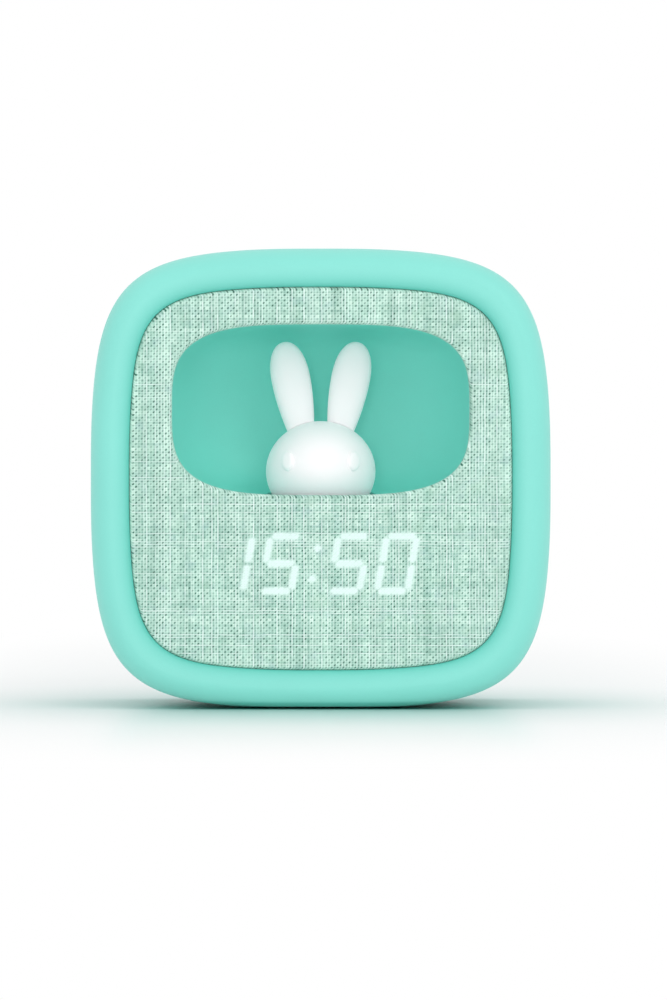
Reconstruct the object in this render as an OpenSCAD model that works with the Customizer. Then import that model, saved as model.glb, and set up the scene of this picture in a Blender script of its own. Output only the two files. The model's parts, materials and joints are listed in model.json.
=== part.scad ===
// Bedside alarm clock with a lit rabbit that rises and sinks in a window of its cloth front.
// Millimetres, +Z up. The origin lies under the middle of the base, and the front faces -Y.

/* [Body] */
// Overall width
body_w = 120; // [110:1:140]
// Overall height, feet included
body_h = 120; // [110:1:140]
// Wall of the housing and the rear cover
wall = 2.4; // [2:0.1:2.8]
// How much each side draws in towards the back
taper = 1.6; // [0:0.1:2.4]
// Squareness of the body's corners, as a superellipse exponent
body_squareness = 3.9; // [3.6:0.05:4.6]
// How much lower that exponent is in the middle of a side, which bows the side outwards
side_bow = 0.65; // [0:0.05:0.8]
// Depth over which the front rim turns into the side
shoulder_d = 8; // [6:1:16]
// Radius of the rear cover's rounded edge
rear_round = 10; // [7:0.5:10]
// Height of the flat that is cut on the underside
base_flat = 0.6; // [0.4:0.1:1]
// Distance from the rear face to the joint between housing and rear cover
cover_d = 11; // [11:0.5:14]

/* [Front panel] */
// Width of the rim round the cloth panel
rim_w = 10.2; // [9:0.1:11]
// Distance from the body's side to the rim's crest
rim_crest = 5.6; // [4.5:0.1:6]
// Depth from the rim's crest to the start of the opening's wall
rim_roll = 2.4; // [1.6:0.1:3]
// Squareness of the opening, as a superellipse exponent
opening_squareness = 3.6; // [3.4:0.05:4]
// How far the cloth lies behind the rim's crest
cloth_recess = 1.9; // [1.4:0.1:2.6]
// Thickness of the cloth
cloth_t = 0.5; // [0.3:0.1:0.8]
// Gap between the cloth's edge and the rim
cloth_gap = 0.5; // [0.4:0.05:1]
// Thickness of the front panel under the cloth
panel_t = 2.2; // [2:0.1:3]
// Radius of the front panel's edge
panel_round = 1.2; // [0.6:0.1:1.6]
// Thickness of the ledge that the panel rests on
ledge_t = 2; // [1.6:0.1:3]
// Width of the ledge
ledge_w = 3.35; // [3:0.05:3.6]

/* [Window] */
// Width of the cloth beside the window
window_side = 11.1; // [9:0.1:16]
// Height of the cloth above the window
window_above = 9.7; // [8:0.1:14]
// Height of the window's lower edge above the table
sill_z = 55.7; // [54:0.1:60]
// Squareness of the window, as a superellipse exponent
window_squareness = 3.5; // [3:0.1:4]
// Wall of the niche
niche_wall = 1.6; // [1.2:0.1:1.8]
// Width of the flange that fixes the niche to the panel
flange_w = 2.6; // [2.4:0.1:3]
// Thickness of the niche's flange
flange_t = 1.6; // [1.2:0.1:2]

/* [Display] */
// Height of a digit
digit_h = 16.1; // [12:0.1:18]
// Width of a digit
digit_w = 9.7; // [7:0.1:10]
// Width of a segment
segment_w = 1.9; // [1.2:0.1:2.2]
// Distance from one digit to the next
digit_pitch = 12.5; // [12.2:0.1:13.2]
// Extra room for the colon
colon_space = 5.2; // [4:0.1:6]
// Lean of the digits in degrees
digit_slant = 10; // [0:1:12]
// How far the digits' centre lies below the window
display_drop = 17.8; // [17.6:0.1:20]
// Distance of the display's centre from the middle of the body
display_x = -1.5; // [-3:0.1:3]
// Thickness of the reflector block
reflector_t = 3.7; // [3.6:0.1:4.6]
// Thickness of every circuit board
board_t = 1.6; // [1:0.1:1.6]

/* [Rabbit] */
// Half the width of the head
head_r = 14.5; // [12:0.05:15.5]
// Half the height of the head
head_rz = 13.3; // [12:0.05:14]
// Height of the head's centre above the window's lower edge, when raised
head_rise = 6.2; // [5:0.1:8]
// Wall of the head
head_wall = 1.8; // [1.4:0.1:2.4]
// Gap between the head and the hole in the niche's floor
head_gap = 0.8; // [0.6:0.1:1.2]
// Gap between the display's board and the head
head_front_gap = 1.1; // [0.8:0.1:3]
// Gap between the head and the back of the niche
head_back_gap = 2.4; // [2:0.1:6]
// Half the width of an ear
ear_r = 5.15; // [4:0.05:5.2]
// Half the thickness of an ear
ear_rt = 2.9; // [2:0.1:3.2]
// Gap between the ears' tips and the top of the window
ear_gap = 3.9; // [2:0.1:8]
// Lean of an ear in degrees
ear_lean = 11.2; // [4:0.1:12]
// Distance of an ear's foot from the middle, measured at the head's crown
ear_x = 5.7; // [5.2:0.1:6.4]
// How far the ears stand behind the head's centre
ear_back = 3; // [1:0.1:4]

/* [Lift drive] */
// Travel from the raised to the sunk rabbit
lift_travel = 40; // [30:1:44]
// Gear module of the rack and the pinion
gear_module = 0.8; // [0.7:0.05:0.8]
// Teeth on the pinion
pinion_teeth = 16; // [14:1:16]
// Width of the rack
rack_w = 5; // [4:0.5:6]
// Diameter of a guide rod
rod_d = 3; // [2:0.1:3]
// Distance of each guide rod from the middle
rod_x = 12; // [11.6:0.1:12.4]
// Radial clearance of the carriage's bushes on the rods
bush_gap = 0.05; // [0.02:0.01:0.08]
// Gap between the pinion and the rear cover
pinion_back_gap = 0.8; // [0.6:0.1:3]

/* [Controls] */
// Diameter of a push button
button_d = 8; // [6:0.5:9]
// Distance from one button to the next
button_pitch = 13; // [12:0.5:13.5]
// Travel of a push button
button_travel = 0.6; // [0.3:0.1:0.8]
// Travel of the alarm switch
switch_travel = 4; // [2:0.5:4]
// Height of the buttons below the top of the body
button_drop = 32; // [31:0.5:34]
// Depth of the pocket that the buttons stand in
pocket_d = 1.4; // [1.2:0.1:1.6]
// Diameter of the loudspeaker
speaker_d = 36; // [28:1:38]
// Distance of the loudspeaker's edge from the middle
speaker_side = 9; // [6:0.5:11]
// Height of the loudspeaker's centre above the table
speaker_z = 45; // [40:1:48]
// Diameter of a hole in the loudspeaker's grille
grille_hole_d = 1.8; // [1:0.1:2.2]
// Rings of holes in the grille
grille_rings = 4; // [2:1:4]

/* [Resolution] */
// Points round each large outline
outline_points = 72; // [48:4:96]
// Points round the niche
niche_points = 56; // [40:4:72]

/* [Hidden] */

$fn = 48;
slack = 0.05;          // joint between two pieces that seat on each other
cut = 1;               // how far a cutting body runs past the wall that it cuts
fillet_steps = 6;      // steps of each quarter round in a profile

// Depth, from what stands one behind the other between the rim and the rear face
spine_gap = 1.4;       // between the niche and the carriage's spine
spine_t = 2;
rack_base_t = 0.8;     // rack between the spine and the roots of its teeth
rack_dedendum = 1.25 * gear_module;
pinion_r = gear_module * pinion_teeth / 2;
niche_d = reflector_t + board_t + head_front_gap + 2 * head_r + head_back_gap;
body_d = cloth_recess + cloth_t + panel_t + niche_d + niche_wall + spine_gap + spine_t + rack_base_t
    + rack_dedendum + 2 * pinion_r + gear_module + pinion_back_gap + wall;

// Stations through the depth, from front to back
front_y = -body_d / 2;
rear_y = body_d / 2;
cloth_front_y = front_y + cloth_recess;
panel_front_y = cloth_front_y + cloth_t;
panel_back_y = panel_front_y + panel_t;
ledge_front_y = panel_back_y + cloth_t;
ledge_back_y = ledge_front_y + ledge_t;
parting_y = rear_y - cover_d;
seam = 0.3;            // shadow gap between housing and rear cover
lip_d = 2.5;           // how far the rear cover's lip reaches into the housing
lip_t = 1.45;          // thickness of that lip
lip_gap = 0.15;        // clearance round that lip

// Outline of the body
taper_start_y = front_y + shoulder_d;
ledge_inset = rim_w + ledge_w;
pocket_wall = 2;       // wall between the opening and the hollow behind the rim
body_cz = body_h / 2;
function drawn_in(y) = taper * max(0, y - taper_start_y) / (rear_y - taper_start_y);
function squareness(inset) =
    body_squareness + (opening_squareness - body_squareness) * min(1, inset / rim_w);
function bow(inset) = side_bow * max(0, 1 - inset / rim_w);

// Window and niche
window_w = body_w - 2 * rim_w - 2 * window_side;
window_top_z = body_h - rim_w - window_above;
window_h = window_top_z - sill_z;
window_cz = sill_z + window_h / 2;
niche_front_y = panel_back_y;
niche_reveal = 0.8;    // how far the niche's mouth is set back behind the window's edge
niche_a = window_w / 2 + niche_reveal;
niche_b = window_h / 2 + niche_reveal;
niche_back_y = niche_front_y + niche_d;
niche_outer_back_y = niche_back_y + niche_wall;
niche_roundness = [3, 5];  // exponents of the niche's profile in plan and in elevation
flange_a = niche_a + niche_wall + flange_w;
flange_b = niche_b + niche_wall + flange_w - 0.4;
stake_d = 1.6;         // heat-staked pegs that hold the niche's flange
stake_head_d = 2.5;
stake_head_t = 0.8;
stake_angles = [18, 66, 114, 162, 198, 246, 294, 342];

// Display stack behind the panel
display_z = sill_z - display_drop;
reflector_w = 3 * digit_pitch + colon_space + digit_w + 7;
reflector_h = digit_h + 5;
diffuser_margin = 0.6;
reflector_back_y = panel_back_y + reflector_t;
display_board_back_y = reflector_back_y + board_t;
display_board_w = reflector_w + 14;
display_board_h = reflector_h + 2.6;
display_post_x = display_board_w / 2 - 3.2;
display_post_z = display_board_h / 2 - 3;
display_posts = [
    for (sx = [-1, 1], sz = [-1, 1]) [display_x + sx * display_post_x, display_z + sz * display_post_z]
];
led_h = 0.8;

// Rabbit
rabbit_y = display_board_back_y + head_front_gap + head_r;
head_z = sill_z + head_rise;
neck_r = 6.2;          // hole in the underside of the head
neck_z = head_z - 0.866 * head_rz;
crown_z = head_z + head_rz;
ear_h = (window_top_z - ear_gap - crown_z) / cos(ear_lean);
ear_y = rabbit_y + ear_back;
ear_spigot_r = 2;
floor_hole_r = head_r + head_gap;
lamp_flange_t = 2.5;
lamp_flange_r = 8.6;
lamp_plug_h = 2.8;
lamp_plug_r = neck_r - 0.1;
lamp_board_r = 5.6;
lamp_board_t = 1.2;

// Lift
arm_t = 2.7;           // carriage arm that carries the lamp base
arm_w = 14;
arm_top_z = neck_z - lamp_flange_t;
arm_z = arm_top_z - arm_t;
spine_y = niche_outer_back_y + spine_gap;
rod_r = rod_d / 2;
rod_y = spine_y + 1.8;
bush_r = rod_r + 1.5;
bush_h = 8;
rack_root_y = spine_y + spine_t + rack_base_t;
rack_pitch_y = rack_root_y + rack_dedendum;
pinion_y = rack_pitch_y + pinion_r;
pinion_z = arm_z + 6;
tooth_pitch = PI * gear_module;
pressure_angle = 20;
backlash = 0.12;       // thinning of each tooth at the pitch line
rack_end = 5;          // rack left past the pinion at each end of the travel
travel = min(lift_travel, arm_z - wall - 2.2);  // the arm stops short of the floor
rack_h = travel + 2 * rack_end;
spine_top_z = arm_z + rack_h + 1;
shaft_r = 1.5;
shaft_gap = 0.02;
bearing_depth = 0.6;
gearbox_size = [9, 10, 12];
gearbox_x = rack_w / 2 + 2.5;
can_l = 15;
can_x = gearbox_x + gearbox_size.x;
frame_x = rod_x + bush_r + 1;
strip_t = 2.2;
frame_front_y = niche_outer_back_y + 1.2;
frame_back_y = rod_y + 2.8;
frame_foot_z = wall + 0.5;
frame_bar_z = spine_top_z + 1;
frame_bar_t = 3.4;
rod_foot_z = frame_foot_z + 0.6;
rod_top_z = frame_bar_z + frame_bar_t - 0.8;
ear_tab_x = frame_x + strip_t + 2.8;
ear_tab_dz = 10;
ear_tabs = [for (sx = [-1, 1], sz = [-1, 1]) [sx * ear_tab_x, window_cz + sz * ear_tab_dz]];
tab_t = 2;
post_r = 2.5;
clamp_t = 1.5;
cradle_x = frame_x + strip_t;
cradle_w = min(10, can_x + can_l - cradle_x - 1);
cradle_lip_t = 4;
cradle_h = gearbox_size.z + 2 * cradle_lip_t;
cradle_z = [pinion_z - cradle_h / 2, pinion_z + gearbox_size.z / 2 + slack];
clamp_places = [
    for (sz = [-1, 1]) [cradle_x + cradle_w / 2, pinion_z + sz * (gearbox_size.z + cradle_lip_t) / 2]
];

// Controls on the rear
button_r = button_d / 2;
button_z = body_h - button_drop;
button_gap = 0.2;
button_names = ["light", "minus", "set", "plus", "alarm"];
button_x = [for (i = [0 : 4]) (i - 2.5) * button_pitch - 0.5];
switch_x = 2.5 * button_pitch + 0.5;
pocket_floor_y = rear_y - pocket_d;
pad_back_y = pocket_floor_y - 2.4;
button_proud = 1;
button_flange_t = 1;
button_flange_r = button_r + 1.3;
pocket_size = [6 * button_pitch + button_d - 2, button_d + 6];
pad_size = pocket_size + [4, 4];
control_board_y = pad_back_y - 8.2;
control_board_back_y = control_board_y + board_t;
control_board_size = [6 * button_pitch, 17];
control_board_z = button_z - 0.5;
tact_h = 3.5;
chip_w = 8;
chip_t = 1.2;
tact_size = 6;
plunger_r = 1.75;
plunger_top_y = pad_back_y - slack - button_flange_t;
knob_size = [3.4, 2.8];
switch_rest_x = switch_x - switch_travel / 2;
switch_body_t = 3.8;
board_post_r = 2.2;
board_post_dz = 5.8;
board_posts = [
    [(button_x[0] + button_x[1]) / 2, button_z - board_post_dz],
    [(button_x[4] + switch_x) / 2, button_z - board_post_dz],
    [(button_x[2] + button_x[3]) / 2, button_z + board_post_dz]
];

// Rear cover screws
screw_inset = 16.5;
screw_post_r = 3.5;
screw_r = 1.5;
screw_bore_r = screw_r + 0.02;
counterbore_r = 3.2;
screw_seat_y = rear_y - 7.5;
screw_l = screw_seat_y - parting_y + 11;
rear_cz = body_cz - taper;
screw_x = body_w / 2 - taper - screw_inset;
screw_dz = body_h / 2 - taper - screw_inset;
screw_places = [for (sx = [-1, 1], sz = [-1, 1]) [sx * screw_x, rear_cz + sz * screw_dz]];

// Loudspeaker
speaker_r = speaker_d / 2;
speaker_x = -speaker_side - speaker_r;
speaker_face_y = rear_y - wall;
grille_pitch = (speaker_r - 4) / (grille_rings - 0.5);
gasket_t = 0.6;
speaker_front_y = speaker_face_y - gasket_t;
magnet_r = 9.5;
magnet_t = 5;
magnet_y = speaker_front_y - 12;

// Power board and battery
power_z = 22;
power_size = [17, 40];
power_x = frame_x + strip_t + 1 + power_size.x / 2;
power_y = rear_y - wall - 1.4 - power_size.y;
usb_size = [8.94, 3.26];
usb_d = 7.3;
usb_z = power_z + board_t + usb_size.y / 2;
usb_back_y = rear_y - 0.6;
capacitor_r = 2.5;
power_post_r = 2.2;
power_posts = [
    for (sx = [-1, 1], py = [power_y + 4, power_y + power_size.y - 12])
    [power_x + sx * (power_size.x / 2 - 2.6), py]
];
battery_size = [7, 34, 24];
battery_pad_t = 0.6;
battery_rib = 1;       // least height of the ribs that the battery lies against
battery_pos = [
    wall + taper + battery_rib + battery_pad_t - body_w / 2,
    parting_y - 4 - battery_size.y,
    sill_z
];

// Feet
foot_r = 4;
foot_t = 1.1;
foot_gap = 0.05;
foot_x = 0.15 * body_w;
foot_front_y = front_y + 6 * foot_r;
foot_rear_y = parting_y - foot_r - 2;

teal = [0.45, 0.83, 0.77];
teal_deep = [0.33, 0.72, 0.64];
mint_cloth = [0.72, 0.87, 0.80];
white = [0.94, 0.95, 0.95];
board_green = [0.10, 0.35, 0.22];
steel = [0.72, 0.73, 0.75];
brass = [0.78, 0.64, 0.32];
black = [0.12, 0.12, 0.13];

// ---------- Shapes that repeat ----------

// Points of a superellipse at even polar angles. Its exponent n drops by the bow towards the middle of a side
function superellipse(a, b, n, count, bow = 0) = [
    for (i = [0 : count - 1])
    let (
        t = 360 * i / count,
        m = n - bow * (1 - pow(abs(sin(2 * t)), 3)),
        r = pow(pow(abs(cos(t)) / a, m) + pow(abs(sin(t)) / b, m), -1 / m)
    )
    [r * cos(t), r * sin(t)]
];

// A superellipse standing across the depth axis
function upright_ring(a, b, n, y, cz, count, bow = 0) = [
    for (p = superellipse(a, b, n, count, bow)) [p.x, y, cz + p.y]
];

// Outline of the body at a depth, set in from its widest outline by an inset
function body_ring(inset, y) =
    let (t = drawn_in(y))
    upright_ring(body_w / 2 - inset - t, body_h / 2 - inset - t, squareness(inset), y,
        body_cz - t, outline_points, bow(inset));

// Outline of the niche at a depth
function niche_ring(a, b, y) =
    upright_ring(a, b, window_squareness, y, window_cz, niche_points);

// Share of its full size that the niche has at a share of its depth
function bowl(v, exponent) = pow(1 - pow(v, exponent), 1 / exponent);

// Ring of the niche, grown by an amount, at a share of its depth
function bowl_ring(grow, v) = niche_ring(
    (niche_a + grow) * bowl(v, niche_roundness[0]),
    (niche_b + grow) * bowl(v, niche_roundness[1]),
    niche_front_y + v * (niche_d + grow));

// Skin over a row of rings: capped at both ends, or closed into a loop
module skin(rings, loop = false) {
    m = len(rings);
    n = len(rings[0]);
    sides = [
        for (i = [0 : m - (loop ? 1 : 2)], j = [0 : n - 1])
        let (k = (j + 1) % n, a = i * n, b = ((i + 1) % m) * n)
        each [[a + j, a + k, b + k], [a + j, b + k, b + j]]
    ];
    caps = loop ? [] : [[for (j = [n - 1 : -1 : 0]) j], [for (j = [0 : n - 1]) (m - 1) * n + j]];
    polyhedron([for (r = rings) each r], concat(sides, caps));
}

// Flat shape in X and Z, extruded from y0 to y1
module upright(y0, y1) {
    translate([0, y1, 0]) rotate([90, 0, 0]) linear_extrude(y1 - y0) children();
}

// Round bar along Y
module bar_y(r, y0, y1, x = 0, z = 0) {
    translate([x, y0, z]) rotate([-90, 0, 0]) cylinder(r = r, h = y1 - y0);
}

// Round bar along X
module bar_x(r, x0, x1, y = 0, z = 0) {
    translate([x0, y, z]) rotate([0, 90, 0]) cylinder(r = r, h = x1 - x0);
}

module bar_z(r, z0, z1, x = 0, y = 0) {
    translate([x, y, z0]) cylinder(r = r, h = z1 - z0);
}

// Flat slot with round ends, w across X
module stadium(w, h) {
    square([w - h, h], center = true);
    for (s = [-1, 1]) translate([s * (w - h) / 2, 0]) circle(d = h);
}

// Rectangle with round corners
module rounded(size, r) {
    square([size.x - 2 * r, size.y], center = true);
    square([size.x, size.y - 2 * r], center = true);
    for (sx = [-1, 1], sy = [-1, 1])
        translate([sx * (size.x / 2 - r), sy * (size.y / 2 - r)]) circle(r);
}

// Screw along +Y: its head lies behind y, and its shank reaches forward
module screw_y(x, y, z, shank_r, length, head_r, head_t) {
    slot = head_r * 0.3;
    difference() {
        union() {
            bar_y(head_r, y, y + head_t, x, z);
            bar_y(shank_r, y - length, y + slack, x, z);
        }
        for (turn = [0, 90])
            translate([x, y + head_t, z]) rotate([0, turn, 0])
                cube([1.3 * head_r, head_t, slot], center = true);
    }
}

// ---------- Casing ----------

// Housing: rim, sides and the ledge for the front panel, as one shell round the depth axis
housing_profile = concat(
    [[ledge_inset, ledge_front_y], [rim_w, ledge_front_y]],
    [for (i = [fillet_steps : -1 : 1]) let (t = 90 * i / fillet_steps)
        [rim_crest + (rim_w - rim_crest) * sin(t), front_y + rim_roll * (1 - cos(t))]],
    [for (i = [fillet_steps + 2 : -1 : 0]) let (t = 90 * i / (fillet_steps + 2))
        [rim_crest * (1 - cos(t)), front_y + shoulder_d * (1 - sin(t))]],
    [[0, parting_y], [wall, parting_y]],
    [for (i = [0 : fillet_steps]) let (t = 90 * i / fillet_steps)
        [wall + (rim_crest - wall) * (1 - cos(t)), front_y + wall + (shoulder_d - wall) * (1 - sin(t))]],
    [[rim_w - pocket_wall, front_y + wall + 0.8], [rim_w - pocket_wall, ledge_back_y]],
    [[ledge_inset, ledge_back_y]]
);

// Outermost reach of the shell's inside at a corner, measured along one axis
function corner_reach(half) = half * pow(0.5, 1 / body_squareness);

// Web that ties a screw post to the corner of the shell behind it
module post_web(place) {
    sx = sign(place.x);
    sz = sign(place.y - rear_cz);
    corner = [
        sx * corner_reach(body_w / 2 - taper - wall / 2),
        rear_cz + sz * corner_reach(body_h / 2 - taper - wall / 2)
    ];
    reach = corner - place;
    translate([place.x, ledge_back_y - 1, place.y])
        rotate([0, -atan2(reach.y, reach.x), 0])
        translate([0, 0, -0.8]) cube([norm(reach), parting_y - ledge_back_y - 3, 1.6]);
}

// What is cut off below the flat that the casing's two shells share
module underside() {
    translate([-body_w / 2, front_y - cut, -cut]) cube([body_w, body_d + 2 * cut, base_flat + cut]);
}

module housing() {
    color(teal) difference() {
        union() {
            skin([for (p = housing_profile) body_ring(p[0], p[1])], loop = true);
            for (place = screw_places) {
                bar_y(screw_post_r, ledge_back_y - 1, parting_y, place.x, place.y);
                post_web(place);
            }
            for (sx = [-1, 1]) {
                // Pads that the lift frame stands on
                translate([sx * (frame_x + strip_t / 2) - 3, frame_front_y - 1, base_flat + 0.9])
                    cube([6, frame_back_y - frame_front_y + 2, frame_foot_z - base_flat - 0.9]);
            }
            intersection() {
                skin([body_ring(wall / 2, ledge_back_y), body_ring(wall / 2, parting_y)]);
                union() {
                    // Posts under the power board
                    for (place = power_posts) bar_z(power_post_r, 0, power_z, place.x, place.y);
                    // Ribs beside the battery
                    for (ry = [battery_pos.y + 5, battery_pos.y + battery_size.y - 7])
                        translate([-body_w / 2, ry, battery_pos.z])
                            cube([battery_pos.x - battery_pad_t + body_w / 2, 2, battery_size.z]);
                }
            }
        }
        underside();
        for (sx = [-1, 1], fy = [foot_front_y, foot_rear_y])
            bar_z(foot_r + foot_gap, 0, foot_t, sx * foot_x, fy);
        for (place = screw_places)
            bar_y(screw_bore_r, screw_seat_y - screw_l - 1, parting_y + cut, place.x, place.y);
        for (place = power_posts) bar_z(0.92, power_z - 6, power_z + cut, place.x, place.y);
    }
}

// Rear cover: a shallow dish with a lip, from the inside of its back round to the outside
lip_inset = wall + lip_gap + lip_t;
cover_profile = concat(
    [for (i = [fillet_steps : -1 : 0]) let (t = 90 * i / fillet_steps)
        [
            lip_inset + (rear_round - lip_inset) * (1 - cos(t)),
            rear_y - wall - (rear_round - wall) * (1 - sin(t))
        ]],
    [
        [lip_inset, parting_y - lip_d], [wall + lip_gap, parting_y - lip_d],
        [wall + lip_gap, parting_y + seam], [0, parting_y + seam]
    ],
    [for (i = [0 : fillet_steps]) let (t = 90 * i / fillet_steps)
        [rear_round * (1 - cos(t)), rear_y - rear_round * (1 - sin(t))]]
);

// Places of the grille's holes: one in the middle, then rings of 6, 12, 18
grille_places = [
    for (k = [0 : grille_rings - 1], i = [0 : max(0, 6 * k - 1)])
    [
        speaker_x + k * grille_pitch * cos(i * 60 / max(1, k)),
        speaker_z + k * grille_pitch * sin(i * 60 / max(1, k))
    ]
];

module rear_cover() {
    color(teal) difference() {
        union() {
            skin([for (p = cover_profile) body_ring(p[0], p[1])]);
            translate([0, 0, button_z]) upright(pad_back_y, rear_y - wall / 2) rounded(pad_size, 4);
            for (place = screw_places)
                bar_y(screw_post_r + 0.7, parting_y + slack, rear_y - wall, place.x, place.y);
            for (place = board_posts)
                bar_y(board_post_r, control_board_back_y, rear_y - wall / 2, place.x, place.y);
            difference() {
                bar_y(speaker_r + 1.8, speaker_front_y - 3, rear_y - wall / 2, speaker_x, speaker_z);
                bar_y(speaker_r + 0.2, speaker_front_y - 3 - cut, speaker_face_y, speaker_x, speaker_z);
            }
        }
        underside();
        translate([0, 0, button_z]) upright(pocket_floor_y, rear_y + cut) rounded(pocket_size, 3);
        for (x = button_x) bar_y(button_r + button_gap, pad_back_y - cut, rear_y, x, button_z);
        translate([switch_x, 0, button_z])
            upright(pad_back_y - cut, rear_y)
            square([knob_size.x + switch_travel, knob_size.y] + 2 * button_gap * [1, 1], center = true);
        for (place = grille_places)
            bar_y(grille_hole_d / 2, speaker_face_y - cut, rear_y + cut, place.x, place.y);
        for (place = screw_places) {
            bar_y(screw_r + 0.2, parting_y - cut, rear_y, place.x, place.y);
            bar_y(counterbore_r, screw_seat_y, rear_y + cut, place.x, place.y);
        }
        for (place = board_posts)
            bar_y(0.92, control_board_back_y - cut, control_board_back_y + 6, place.x, place.y);
        translate([power_x, 0, usb_z])
            upright(rear_y - wall - cut, rear_y + cut) stadium(usb_size.x + 0.5, usb_size.y + 0.5);
    }
}

module feet() {
    color(black) for (sx = [-1, 1], fy = [foot_front_y, foot_rear_y])
        bar_z(foot_r, 0, foot_t - slack, sx * foot_x, fy);
}

module cover_screws() {
    color(steel) for (place = screw_places)
        screw_y(place.x, screw_seat_y + slack, place.y, screw_r, screw_l, counterbore_r - 0.4, 2);
}

// ---------- Front ----------

panel_inset = rim_w + cloth_gap + cloth_t;
panel_profile = [
    for (i = [fillet_steps - 2 : -1 : 0]) let (t = 90 * i / (fillet_steps - 2))
    [panel_inset + panel_round * (1 - cos(t)), panel_front_y + panel_round * (1 - sin(t))]
];

module window_shape(grow) {
    translate([0, window_cz])
        polygon(superellipse(window_w / 2 + grow, window_h / 2 + grow, window_squareness, niche_points));
}

// Snap hook that catches behind the ledge; out is the direction from the panel's centre
module panel_hook(along, turn, reach) {
    w = 8;
    arm = 1.6;
    gap = 0.5;
    translate([0, 0, body_cz]) rotate([0, turn, 0]) translate([along - w / 2, 0, reach]) {
        translate([0, panel_back_y - slack, -gap - arm])
            cube([w, ledge_back_y - panel_back_y + 2, arm]);
        translate([0, ledge_back_y + 0.1, -gap - slack])
            cube([w, 1.5, gap + 0.9]);
    }
}

module front_panel() {
    reach_z = body_h / 2 - ledge_inset;
    reach_x = body_w / 2 - ledge_inset;
    color(white) difference() {
        union() {
            skin(concat(
                [for (p = panel_profile) body_ring(p[0], p[1])],
                [body_ring(panel_inset, panel_back_y)]));
            for (t = stake_angles)
                let (p = stake_place(t), head_y = panel_back_y + flange_t + slack) {
                    bar_y(stake_d / 2, panel_back_y - 1, head_y, p.x, p.y);
                    bar_y(stake_head_d / 2, head_y, head_y + stake_head_t, p.x, p.y);
                }
            for (p = display_posts) bar_y(2, panel_back_y - 1, reflector_back_y, p.x, p.y);
            for (x = [-10, 10]) {
                panel_hook(x, 0, reach_z);
                panel_hook(x, 180, reach_z);
            }
            panel_hook(0, 90, reach_x);
            panel_hook(0, -90, reach_x);
        }
        upright(panel_front_y - cut, panel_back_y + cut) window_shape(cloth_t);
        translate([display_x, 0, display_z])
            upright(panel_front_y - cut, panel_back_y + cut)
            rounded([reflector_w - 2 * diffuser_margin, reflector_h - 2 * diffuser_margin], 2);
        for (p = display_posts) bar_y(0.82, reflector_back_y - 3.5, reflector_back_y + cut, p.x, p.y);
    }
}

// Cloth: wrapped over the panel's edge and into the window
module cloth_cover() {
    outer = panel_inset - cloth_t;
    round_out = panel_round + cloth_t;
    steps = fillet_steps - 2;
    color(mint_cloth) union() {
        difference() {
            skin([for (p = concat(
                [for (i = [steps : -1 : 0]) let (t = 90 * i / steps)
                    [outer + round_out * (1 - cos(t)), cloth_front_y + round_out * (1 - sin(t))]],
                [[outer, ledge_front_y], [outer + 2.5, ledge_front_y], [outer + 2.5, panel_back_y],
                    [panel_inset, panel_back_y]],
                [for (i = [0 : steps]) let (t = 90 * i / steps)
                    [panel_inset + panel_round * (1 - cos(t)), panel_front_y + panel_round * (1 - sin(t))]]
            )) body_ring(p[0], p[1])]);
            upright(cloth_front_y - cut, panel_front_y + cut) window_shape(0);
        }
        upright(cloth_front_y + cloth_t / 2, panel_back_y) difference() {
            window_shape(cloth_t);
            window_shape(0);
        }
    }
}

// Middle of the niche's flange at a polar angle, where a stake passes through
function stake_place(t) =
    let (
        a = niche_a + niche_wall + flange_w / 2 + 0.1,
        b = niche_b + niche_wall + flange_w / 2 - 0.1,
        n = window_squareness,
        r = pow(pow(abs(cos(t)) / a, n) + pow(abs(sin(t)) / b, n), -1 / n)
    )
    [r * cos(t), window_cz + r * sin(t)];

module niche_liner() {
    steps = 7;
    angle = 84;
    color(teal_deep) difference() {
        union() {
            skin(concat(
                [for (i = [steps : -1 : 0]) bowl_ring(0, sin(angle * i / steps))],
                [niche_ring(flange_a, flange_b, niche_front_y),
                    niche_ring(flange_a, flange_b, niche_front_y + flange_t)],
                [bowl_ring(niche_wall, flange_t / (niche_d + niche_wall))],
                [for (i = [1 : steps]) bowl_ring(niche_wall, sin(angle * i / steps))]
            ));
            for (p = ear_tabs) bar_y(post_r, niche_back_y - 0.9, frame_front_y, p.x, p.y);
        }
        bar_z(floor_hole_r, sill_z - 12, head_z + 3, 0, rabbit_y);
        for (t = stake_angles)
            let (p = stake_place(t))
            bar_y(stake_d / 2 + slack, niche_front_y - cut, niche_front_y + flange_t + cut, p.x, p.y);
        for (p = ear_tabs) bar_y(0.82, frame_front_y - 2.2, frame_front_y + cut, p.x, p.y);
    }
}

// ---------- Display ----------

// Centres of the four digits
digit_x = [for (i = [-1.5, -0.5, 0.5, 1.5]) i * digit_pitch + sign(i) * colon_space / 2];
// Segments a to g of each digit that are lit: 1, 5, 5, 0
lit_segments = [[1, 2], [0, 5, 6, 2, 3], [0, 5, 6, 2, 3], [0, 1, 2, 3, 4, 5]];

// Outline of one segment that lies along X, with pointed ends
module segment_outline(length) {
    h = segment_w / 2;
    polygon([[-length / 2, 0], [-length / 2 + h, h], [length / 2 - h, h],
        [length / 2, 0], [length / 2 - h, -h], [-length / 2 + h, -h]]);
}

// Middles of a digit's segments, in the order a b c d e f g, and of the colon's dots
segment_across = digit_w - segment_w;
segment_up = (digit_h - segment_w) / 2;
segment_places = [
    [0, segment_up], [segment_across / 2, segment_up / 2], [segment_across / 2, -segment_up / 2],
    [0, -segment_up], [-segment_across / 2, -segment_up / 2], [-segment_across / 2, segment_up / 2], [0, 0]
];
colon_places = [[0, digit_h / 4.1], [0, -digit_h / 4.1]];

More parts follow.
